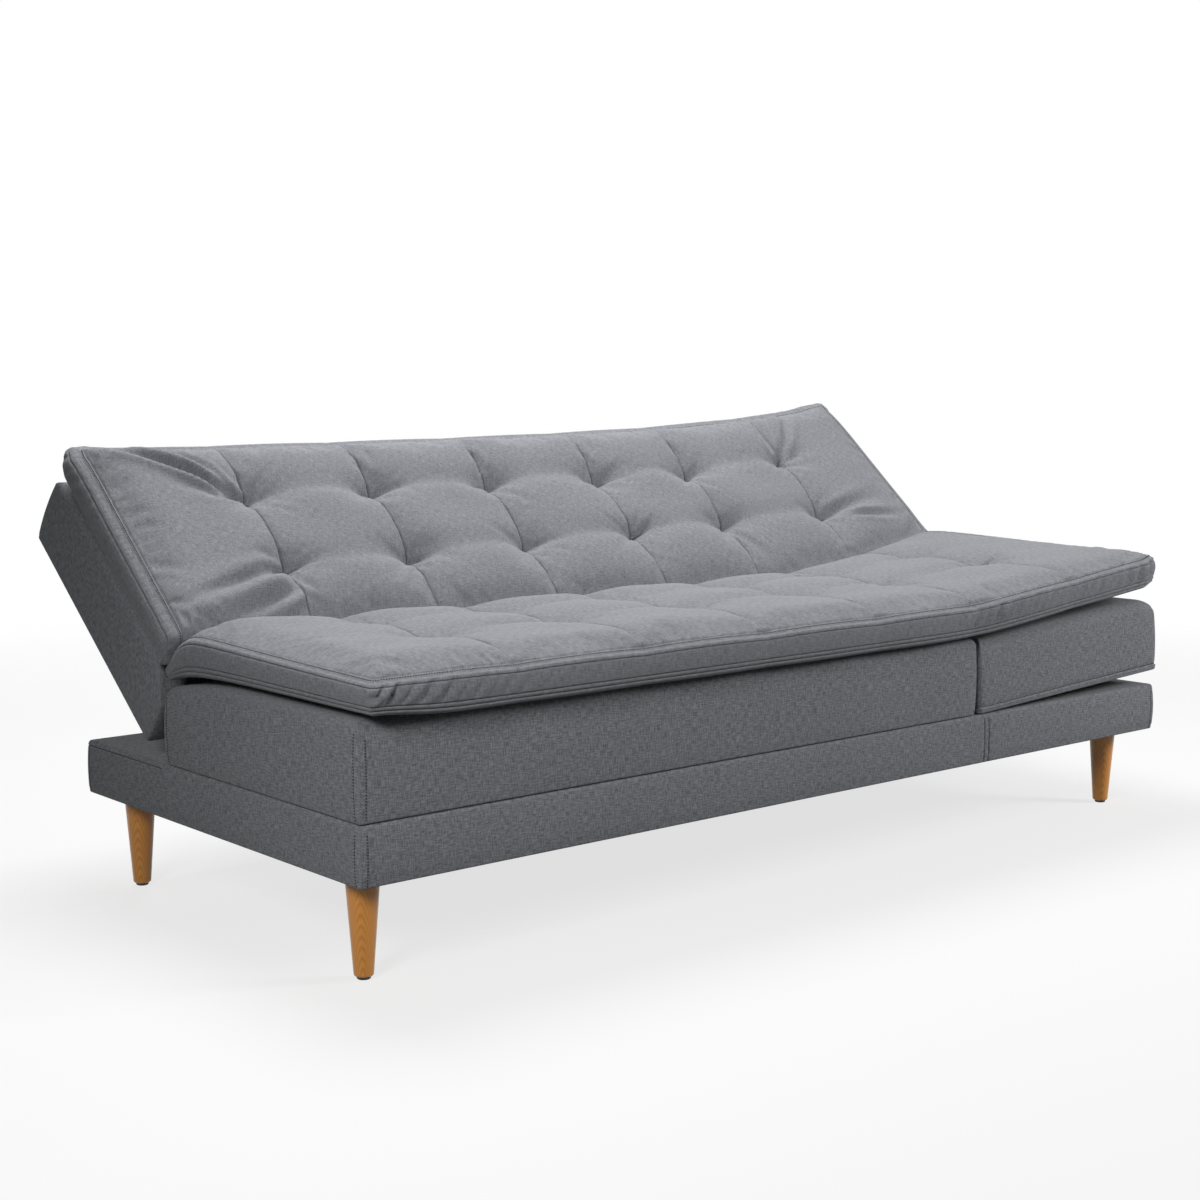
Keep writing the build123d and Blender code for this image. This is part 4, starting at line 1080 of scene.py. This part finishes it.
class SOFA_OT_seat_topper(Operator):
    """Seat part of the topper pad: tufted, boxed in front and at both ends, rising over the lifting end"""

    bl_idname = "sofa.seat_topper"
    bl_label = "Seat topper"

    def execute(self, context):
        sizes = context.scene.sofa_topper
        covers = context.scene.sofa_covers
        rows = np.array((sizes.seat_row_front, sizes.seat_row_rear)) + FRONT
        crease = FRONT + sizes.crease_place
        x = pad_columns()
        y = lines_between((PAD_FRONT, *rows, crease), NEAR_SEAM, PAD_PITCH)
        y = np.unique(np.concatenate([y, PAD_FRONT + np.array(NEAR_BORDER)]).round(6))
        grid_x, grid_y = np.meshgrid(x, y, indexing="ij")
        fold_y, fold_z = crease_line(grid_x, sizes)
        floor = pad_floor(grid_x, sizes)
        behind = ((grid_y - PAD_FRONT) / (crease - PAD_FRONT)).clip(0, 1)

        border = np.minimum(from_ends(grid_x), grid_y - PAD_FRONT).clip(0)
        crown = sizes.crown - sizes.end_crown_drop * beyond_split(grid_x) ** 0.5
        height = tufted(
            grid_x, grid_y, rows, SEAT_BOWS, SEAT_ROW_SHARE, border, crown, sizes.tuft, sizes.seam_groove
        )
        height -= crease_field(grid_x, grid_y, tuft_creases(rows, 11))
        unevenness = 0.0016
        height += unevenness * uneven(grid_x, grid_y, 5)
        # The pillow at the fold's left end is fuller: how much, its place and its reach
        full, from_left, from_fold, reach_x, reach_y = 0.010, 0.065, 0.09, 0.12, 0.07
        fuller = full * bell(grid_x - PAD_LEFT - from_left, reach_x)
        height += fuller * bell(grid_y - crease + from_fold, reach_y)
        edge = sizes.edge - sizes.edge_dip * near_seam(grid_x) ** 2 + sizes.edge_rise * behind**1.2
        end_drop = 0.002
        edge = edge - end_drop * beyond_split(grid_x) * (1 - behind)
        height = border_blend(height, border, edge, covers)
        fold = fold_share(crease - grid_y, grid_x, SEAT_PINCH_WIDTH, SEAT_PINCH_REACH)
        height = height * (1 - fold) + (fold_z - floor) * fold

        # The front runs back to the right and is drawn in at the seams; the panels lean to the left
        run_back, lean = 0.016, 0.030
        front = PAD_FRONT + run_back * along_pad(grid_x) ** 2
        front = front + sizes.draw * near_seam(grid_x) ** 2 * np.exp(-(grid_y - PAD_FRONT) / DRAW_REACH)
        lie_x = grid_x - lean * (1 - behind) * np.sin(math.pi * along_pad(grid_x)) ** 0.7
        lie_x -= SEAT_PAD_SHORT * beyond_split(grid_x)
        lie_y = front + (fold_y - front) * behind
        corner, cut = 0.052, 0.28
        near_right = (1 - (PAD_RIGHT - grid_x) / corner).clip(0)
        at_corner = near_right * (1 - (grid_y - PAD_FRONT) / corner).clip(0)
        lie_x -= cut * corner * at_corner
        lie_y = lie_y + cut * corner * at_corner
        held = held_points(grid_x, grid_y, border, rows, crease)
        top = settled(np.stack([lie_x, lie_y, floor + height], axis=-1), x, y, rows, held)
        bottom_x = lie_x * (1 - PAD_BOTTOM_INSET / PAD_RIGHT)
        rim = 0.025
        under = floor + foot_lift(grid_x, behind, sizes) * np.exp(-border / rim)
        # On the lifting end the underside stops short of the fold, clear of the upright back
        short = 0.040
        relief = short * beyond_split(grid_x) * behind**8
        bottom = np.stack([bottom_x, lie_y + PAD_BOTTOM_INSET * (1 - behind) - relief, under], axis=-1)

        column, row = edge_loop(len(x), len(y))
        edge = top[column, row]
        feet = edge * (1, 1, 0) + bottom[column, row] * (0, 0, 1)
        feet[:, 1] -= FOLD_END_BACK * behind[column, row] ** 12 * (column == 0) + relief[column, row]
        out = outward_of(edge)
        keep = row < len(y) - 1
        right_corner = way_round(edge)[len(x) - 1]
        # Puckered places: the way round the border, and the strength before and after each
        corners = ((0.0, 1.0, 1.0), (right_corner, 0.8, 0.1), (0.74 * right_corner, 0.6, 0.6))
        swell, pucker = 0.008, 0.0065
        rings = boxed_rings(edge, feet, out, keep.astype(float), swell, corners, pucker, 3)
        surface = wrapped(top, np.stack([grid_x, grid_y], axis=-1), rings, bottom)
        inner = ((UPPER_STITCH, UPPER_STITCH), (len(x) - 1 - UPPER_STITCH, len(y) - 1))
        runs = pad_stitch_runs(top, rings, out, column, row, keep, inner)
        finish_pad("seat_topper", surface, runs, ("seat_pad", "end_pad"), covers)
        return {"FINISHED"}


class SOFA_OT_back_topper(Operator):
    """Back part of the topper pad: tufted, boxed at the top and both ends, folded down into the crease"""

    bl_idname = "sofa.back_topper"
    bl_label = "Back topper"

    def execute(self, context):
        sizes = context.scene.sofa_topper
        covers = context.scene.sofa_covers
        rows = np.array((sizes.back_row_low, sizes.back_row_high))
        slab = BACK_HIGH[2] + PAD_REST_GAP
        x = pad_columns()
        u = lines_between((LOW_U, *rows, sizes.back_top), NEAR_SEAM, PAD_PITCH)
        u = np.unique(np.concatenate([u, sizes.back_top - np.array(NEAR_BORDER)]).round(6))
        grid_x, grid_u = np.meshgrid(x, u, indexing="ij")
        share = beyond_split(grid_x)
        fold_y, fold_z = crease_line(grid_x, sizes)
        fold_place = BACK.local(np.stack([grid_x, fold_y, fold_z], axis=-1))
        climb = ((grid_u - LOW_U) / (sizes.back_top - LOW_U)).clip(0, 1)

        border = np.minimum(from_ends(grid_x), sizes.back_top - grid_u).clip(0)
        crown, tuft = sizes.crown, sizes.back_tuft
        height = tufted(
            grid_x, grid_u, rows, BACK_BOWS, BACK_ROW_SHARE, border, crown, tuft, sizes.seam_groove
        )
        left, right = SEAMS[0], SEAMS[-1]
        low_row, high_row = rows
        # Long folds of both ends: place, direction, reach, depth and width
        folds = [
            (left, high_row, math.radians(147), 0.46, 0.017, 0.0105),
            (left, high_row, math.radians(131), 0.24, 0.005, 0.008),
            (left, high_row, math.radians(166), 0.16, 0.007, 0.010),
            (left, low_row, math.radians(188), 0.26, 0.011, 0.012),
            (left, low_row - 0.045, math.radians(197), 0.26, 0.015, 0.014),
            (right, high_row, math.radians(50), 0.24, 0.010, 0.010),
            (right, high_row, math.radians(68), 0.20, 0.009, 0.009),
            (right, low_row, math.radians(8), 0.24, 0.008, 0.012),
            (right + 0.06, low_row - 0.02, math.radians(-6), 0.20, 0.006, 0.010),
        ]
        height -= crease_field(grid_x, grid_u, tuft_creases(rows, 23) + folds)
        unevenness, edge_reach = 0.0018, 0.03
        height += unevenness * uneven(grid_x, grid_u, 8)
        top_share = np.exp((grid_u - sizes.back_top) / edge_reach)
        side_share = np.exp(-from_ends(grid_x) / edge_reach)
        edge = (sizes.back_edge * side_share + sizes.back_top_edge * top_share) / (side_share + top_share)
        height = border_blend(height, border, edge, covers)
        right_lift = 0.008
        lift = sizes.back_lift * climb**1.5 + right_lift * share * climb
        roll = fold_share(grid_u - LOW_U, grid_x, BACK_PINCH_WIDTH, BACK_PINCH_REACH)
        lie_v = (slab + lift + height) * (1 - roll) + fold_place[..., 2] * roll

        # How far up the fold, both rows and the top border lie from their straight places, in metres
        to_right = np.clip((grid_x - left) / (right - left), 0, 1)
        to_left = np.clip((left - grid_x) / (left - PAD_LEFT), 0, 1)
        top_rise = sizes.back_top_rise * along_pad(grid_x) ** 3.5
        shifts = (
            fold_place[..., 1] - LOW_U,
            0.036 * to_right - 0.060 * to_left**1.5,
            0.008 * to_right + 0.050 * share,
            top_rise + 0.008 * np.exp((grid_x - PAD_RIGHT) / edge_reach),
        )
        knots = (LOW_U, low_row, high_row, sizes.back_top)
        shares = [np.interp(grid_u, knots, unit) for unit in np.eye(4)]
        lie_u = grid_u + sum(share_u * shift for share_u, shift in zip(shares, shifts))
        near_edge = np.exp((grid_u - sizes.back_top) / DRAW_REACH)
        lie_u -= sizes.draw * 0.6 * near_seam(grid_x) ** 2 * near_edge
        # The border is drawn in at the top and the left, and the corners are cut
        inset, inset_reach = 0.008, 0.08
        lie_u -= 0.6 * inset * near_edge
        lie_x = grid_x + inset * np.exp((PAD_LEFT - grid_x) / inset_reach)
        corner = 0.030
        near_top = (1 - (sizes.back_top - grid_u) / corner).clip(0)
        near_left = (1 - (grid_x - PAD_LEFT) / corner).clip(0)
        near_right = (1 - (PAD_RIGHT - grid_x) / corner).clip(0)
        lie_u -= 0.25 * corner * near_top * (near_left + near_right)
        lie_x += corner * near_top * (0.25 * near_left + 0.36 * near_right)
        held = held_points(grid_x, grid_u, border, rows, LOW_U)
        top = settled(np.stack([lie_x, lie_u, lie_v], axis=-1), x, u, rows, held)
        # The underside starts above the hinge, higher on the right, where the fold is raised
        lowest, lowest_rise = 0.052, 0.09
        foot_u = np.maximum(lie_u, lowest + share * lowest_rise)
        bottom_x = lie_x * (1 - PAD_BOTTOM_INSET / PAD_RIGHT)
        bottom = np.stack([bottom_x, foot_u - PAD_BOTTOM_INSET * climb, slab + lift], axis=-1)

        column, row = edge_loop(len(x), len(u))
        edge = top[column, row]
        under = bottom[column, row]
        keep = row > 0
        foot_place = np.maximum(edge[:, 1], foot_u[column, row])
        straight_feet = np.stack([edge[:, 0], foot_place, under[:, 2]], axis=1)
        feet = np.where(keep[:, None], straight_feet, under)
        out = outward_of(edge)
        around = way_round(edge)
        corners = ((around[len(x) + len(u) - 2], 0.2, 0.7), (around[2 * len(x) + len(u) - 3], 0.8, 0.8))
        swell, pucker = 0.022, 0.0020
        rings = boxed_rings(edge, feet, out, keep.astype(float), swell, corners, pucker, 4)
        points, quads, uv = wrapped(top, np.stack([grid_x, grid_u], axis=-1), rings, bottom)
        inner = ((UPPER_STITCH, 0), (len(x) - 1 - UPPER_STITCH, len(u) - 1 - UPPER_STITCH))
        runs = pad_stitch_runs(top, rings, out, column, row, keep, inner)
        runs = [(BACK.world(path), up @ BACK.axes) for path, up in runs]
        surface = (BACK.world(points), quads, uv)
        bend = BACK.world([(0, 0.045, slab), (0, 0.20, slab)])
        finish_pad("back_topper", surface, runs, ("back_pad", "pad_fold"), covers)
        return {"FINISHED"}


class SOFA_OT_covers(Operator):
    """Covers of the base, the fixed seat, the lifting end and the back, with their stitching"""

    bl_idname = "sofa.covers"
    bl_label = "Covers"

    def seat_sag(self, x, y):
        """The fixed seat has given way at its left end, towards the fold."""
        depth, start, span, reach = 0.016, 0.30, 0.20, 0.35
        rearward = np.clip((y - FRONT - start) / span, 0, 1.2)
        return depth * rearward**2 * bell(x - SEAT_LOW[0], reach)

    def end_sag(self, x, y):
        """The lifting end has given way beside the split."""
        depth = 0.012
        return depth * np.clip((END_HIGH[0] - x) / (END_HIGH[0] - END_LOW[0]), 0, 1)

    def back_sag(self, x, u):
        """The back is dented low at its left end, where the pad's fold presses when it stands upright."""
        depth, reach_x, place_u, reach_u = 0.0015, 0.060, 0.055, 0.040
        return depth * bell(x - BACK_LOW[0], reach_x) * bell(u - place_u, reach_u)

    def execute(self, context):
        sizes = context.scene.sofa_covers
        # The base's top has given way a little, which leaves a thin shadow gap below the seat
        base_top = BASE_HIGH - np.array((0, 0, 0.0015))
        split_pair = (SPLIT + 0.022, SPLIT + 0.034)
        radii = (0.007, 0.007, 0.007, 0.007)
        base = soft_cover(
            LEVEL, BASE_LOW, base_top, radii, sizes, 2,
            seams=(0.0085,), sewn_from=SEAT_HIGH[1], corners=(0, 1, 2, 3), x_seams=split_pair,
        )
        finish_cover("base_upholstery", ("base_cover",), "base", base, sizes)
        radii = (0.020, 0.025, 0.040, 0.012)
        seat = soft_cover(
            LEVEL, SEAT_LOW, SEAT_HIGH, radii, sizes, 3, sag=self.seat_sag, corners=(0, 3)
        )
        finish_cover("seat_upholstery", ("seat_cover", "seat_foam"), "base", seat, sizes)
        radii = (0.024, 0.048, 0.040, 0.025)
        welt_seam = END_HIGH[2] - END_LOW[2] - 0.011
        end = soft_cover(
            END, END_LOW, END_HIGH, radii, sizes, 4, sag=self.end_sag, seams=(welt_seam,), welt=0.009
        )
        finish_cover("end_upholstery", ("end_cover", "end_foam"), "end_section", end, sizes)
        radii = (0.05, 0.012, 0.014, 0.012)
        back = soft_cover(
            BACK, BACK_LOW, BACK_HIGH, radii, sizes, 5, sag=self.back_sag, bevelled=True
        )
        finish_cover("back_upholstery", ("back_cover", "back_foam"), "backrest", back, sizes)
        return {"FINISHED"}


class SOFA_OT_legs(Operator):
    """Four turned legs: a straight taper with a rounded foot, carried round each leg's axis"""

    bl_idname = "sofa.legs"
    bl_label = "Legs"

    def execute(self, context):
        # The grain's arches face the camera; the UVs are cut from the leg's mean radius
        camera_side = math.radians(-130)
        mean_radius = 0.020
        foot_zone, rounding = 0.012, 0.004
        bend = np.linspace(0, math.pi / 2, 7)
        turn = np.linspace(0, 2 * math.pi, 65)
        for place in ("front_left", "front_right", "rear_left", "rear_right"):
            node = f"leg_{place}"
            low, high = LEVEL.box(node)
            centre = (low + high) / 2
            top_radius = (high[0] - low[0]) / 2
            foot = node_points(node)
            foot = (foot - centre)[foot[:, 2] < low[2] + foot_zone]
            foot_radius = np.linalg.norm(foot[:, :2], axis=1).max()
            foot_curve = foot_radius - rounding + rounding * np.sin(bend)
            foot_level = low[2] + rounding * (1 - np.cos(bend))
            taper = np.linspace(foot_radius, top_radius, 25)[1:]
            taper_level = np.linspace(low[2] + rounding, high[2], 25)[1:]
            radius = np.concatenate([[0.0], foot_curve, taper, [0.0]])
            level = np.concatenate([[low[2]], foot_level, taper_level, [high[2]]])
            grid_turn, grid_radius = np.meshgrid(turn, radius, indexing="ij")
            grid_level = np.broadcast_to(level, grid_turn.shape)
            facing = grid_turn + camera_side + math.pi
            points_x = centre[0] + grid_radius * np.cos(facing)
            points_y = centre[1] + grid_radius * np.sin(facing)
            points = np.stack([points_x, points_y, grid_level], axis=-1)
            quads = grid_quads(*points.shape[:2])
            # Each leg is cut from another stretch of the wood
            flat = np.stack([(grid_turn - math.pi) * mean_radius, grid_level + 0.37 * centre[0]], axis=-1)
            uv = flat.reshape(-1, 2)[quads].reshape(-1, 2)
            leg = make_object(f"turned_leg_{place}", points.reshape(-1, 3), quads, uv)
            leg.data.materials.append(finish("Lacquered oak"))
            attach(leg, "base")
            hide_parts(node)
        return {"FINISHED"}


class SOFA_OT_hardware(Operator):
    """Finishes of the CAD nodes that stay: frames, foam, webbing, linings, hinges and glides"""

    bl_idname = "sofa.hardware"
    bl_label = "Frame and hardware"

    def execute(self, context):
        finishes = {
            "timber": "Sawn pine",
            "board": "Plywood",
            "foam": "Polyurethane foam",
            "webbing": "Elastic webbing",
            "lining_cloth": "Dust cloth",
            "hinge_steel": "Zinc-plated steel",
            "glide_plastic": "Moulded polypropylene",
            "cover_fabric": "Linen-look rear cloth",
        }
        for row in frame["record"]["subparts"]:
            node = frame["nodes"][row["node"]]
            if row["material_slot"] in finishes and not node.hide_render:
                node.data.materials.clear()
                node.data.materials.append(finish(finishes[row["material_slot"]]))
        return {"FINISHED"}


class SOFA_OT_stage(Operator):
    """Pale floor, soft studio light and the camera"""

    bl_idname = "sofa.stage"
    bl_label = "Stage"

    def seen_rays(self, tree):
        """Socket that is 1 for the rays that reach the eye: camera, glossy and transmission rays."""
        path = add_node(tree, "ShaderNodeLightPath").outputs
        seen = path["Is Camera Ray"]
        for ray in ("Is Glossy Ray", "Is Transmission Ray"):
            seen = add_node(tree, "ShaderNodeMath", {0: seen, 1: path[ray]}, operation="MAXIMUM").outputs[0]
        return seen

    def lay_floor(self, tones):
        """A floor that looks nearly white, throws back little light and fades out away from the sofa."""
        half, glow = 9.0, 0.74
        corners = np.array([(-half, -half, 0), (half, -half, 0), (half, half, 0), (-half, half, 0)])
        floor = make_object("floor", corners, np.array([[0, 1, 2, 3]]))
        material, tree, shader = new_material("Studio floor")
        seen = self.seen_rays(tree)
        shades = {0: seen, 6: tones.floor_bounce, 7: tones.floor}
        tint = add_node(tree, "ShaderNodeMix", shades, data_type="RGBA").outputs[2]
        set_inputs(tree, shader, {"Base Color": tint, "Roughness": 0.9, "Specular IOR Level": 0.0})
        place = add_node(tree, "ShaderNodeTexCoord").outputs["Object"]
        away = add_node(tree, "ShaderNodeVectorMath", {0: place}, operation="LENGTH").outputs["Value"]
        span = {"Value": away, "From Min": 1.7, "From Max": 3.6}
        fade = add_node(tree, "ShaderNodeMapRange", span, interpolation_type="SMOOTHSTEP").outputs[0]
        clear = add_node(tree, "ShaderNodeBsdfTransparent").outputs[0]
        white = add_node(tree, "ShaderNodeEmission", {"Color": (1, 1, 1, 1), "Strength": 1.0}).outputs[0]
        lit = add_node(tree, "ShaderNodeMath", {0: seen, 1: glow}, operation="MULTIPLY").outputs[0]
        pale = add_node(tree, "ShaderNodeMixShader", {0: lit, 1: shader.outputs[0], 2: white}).outputs[0]
        mixed = add_node(tree, "ShaderNodeMixShader", {0: fade, 1: pale, 2: clear}).outputs[0]
        set_inputs(tree, tree.nodes["Material Output"], {"Surface": mixed})
        floor.data.materials.append(material)

    def light_world(self, scene):
        """A white backdrop for the eye, and faint light from all round."""
        world = bpy.data.worlds.new("Studio")
        scene.world = world
        world.use_nodes = True
        tree = world.node_tree
        ambient = tree.nodes["Background"]
        set_inputs(tree, ambient, {"Color": (1, 1, 1, 1), "Strength": 0.04})
        backdrop = add_node(tree, "ShaderNodeBackground", {"Color": (1, 1, 1, 1), "Strength": 1.0})
        layers = {0: self.seen_rays(tree), 1: ambient.outputs[0], 2: backdrop.outputs[0]}
        mixed = add_node(tree, "ShaderNodeMixShader", layers).outputs[0]
        set_inputs(tree, tree.nodes["World Output"], {"Surface": mixed})

    def hang_lamps(self, scene):
        """Round area lamps: place, aim, diameter in metres, power in watts and spread in degrees."""
        lamps = (
            ("Overhead softbox", (0.0, 0.92, 3.2), (0.0, 0.0, 0.2), 1.8, 90.0, 180),
            ("Right fill", (2.8, -2.6, 1.7), (0.3, -0.3, 0.35), 1.0, 65.0, 180),
            ("Left fill", (-3.0, -1.7, 1.8), (-0.80, -0.60, 0.2), 0.9, 4.6, 60),
            ("Rear fill", (1.6, 3.4, 2.0), (0.2, 0.4, 0.35), 1.2, 26.0, 180),
        )
        for name, spot, aim, size, power, fan in lamps:
            data = bpy.data.lights.new(name, "AREA")
            data.shape = "DISK"
            data.size = size
            data.energy = power
            data.spread = math.radians(fan)
            lamp = bpy.data.objects.new(name, data)
            scene.collection.objects.link(lamp)
            away = np.array(spot) - np.array(aim)
            tilt = math.atan2(math.hypot(away[0], away[1]), away[2])
            lamp.location = spot
            lamp.rotation_euler = (tilt, 0, math.atan2(away[1], away[0]) + math.pi / 2)

    def place_camera(self, scene):
        """The photo's viewpoint, from the perspective fit of the sofa's corners."""
        data = bpy.data.cameras.new("Camera")
        data.sensor_width = 36.0
        data.lens = 58.6
        camera = bpy.data.objects.new("Camera", data)
        camera.location = (-2.310, FRONT - 2.136, 0.842)
        camera.rotation_euler = (math.radians(90 - 6.81), 0, math.radians(-40.43))
        scene.collection.objects.link(camera)
        scene.camera = camera

    def execute(self, context):
        scene = context.scene
        scene.view_settings.view_transform = "Standard"
        self.lay_floor(scene.sofa_colours)
        self.light_world(scene)
        self.hang_lamps(scene)
        self.place_camera(scene)
        return {"FINISHED"}


STEPS = (
    SOFA_OT_seat_topper,
    SOFA_OT_back_topper,
    SOFA_OT_covers,
    SOFA_OT_legs,
    SOFA_OT_hardware,
    SOFA_OT_stage,
)


class SOFA_PT_panel(Panel):
    """Lists the sofa bed's operators and their sizes"""

    bl_idname = "SOFA_PT_panel"
    bl_label = "Sofa bed"
    bl_space_type = "VIEW_3D"
    bl_region_type = "UI"
    bl_category = "Sofa bed"

    def draw(self, context):
        for step in STEPS:
            self.layout.operator(step.bl_idname)
        for group in (context.scene.sofa_topper, context.scene.sofa_covers, context.scene.sofa_colours):
            for name in group.__annotations__:
                self.layout.prop(group, name)


CLASSES = (TopperSizes, CoverSizes, FinishColours, *STEPS, SOFA_PT_panel)


def register():
    """Register the classes and hang the property groups on the scene."""
    for cls in CLASSES:
        bpy.utils.register_class(cls)
    bpy.types.Scene.sofa_topper = PointerProperty(type=TopperSizes)
    bpy.types.Scene.sofa_covers = PointerProperty(type=CoverSizes)
    bpy.types.Scene.sofa_colours = PointerProperty(type=FinishColours)


def unregister():
    """Undo register."""
    del bpy.types.Scene.sofa_colours
    del bpy.types.Scene.sofa_covers
    del bpy.types.Scene.sofa_topper
    for cls in reversed(CLASSES):
        bpy.utils.unregister_class(cls)


def main():
    """Dress the sofa bed, light it and set up the camera."""
    register()
    bpy.ops.sofa.seat_topper()
    bpy.ops.sofa.back_topper()
    bpy.ops.sofa.covers()
    bpy.ops.sofa.legs()
    bpy.ops.sofa.hardware()
    bpy.ops.sofa.stage()


if __name__ == "__main__":
    main()
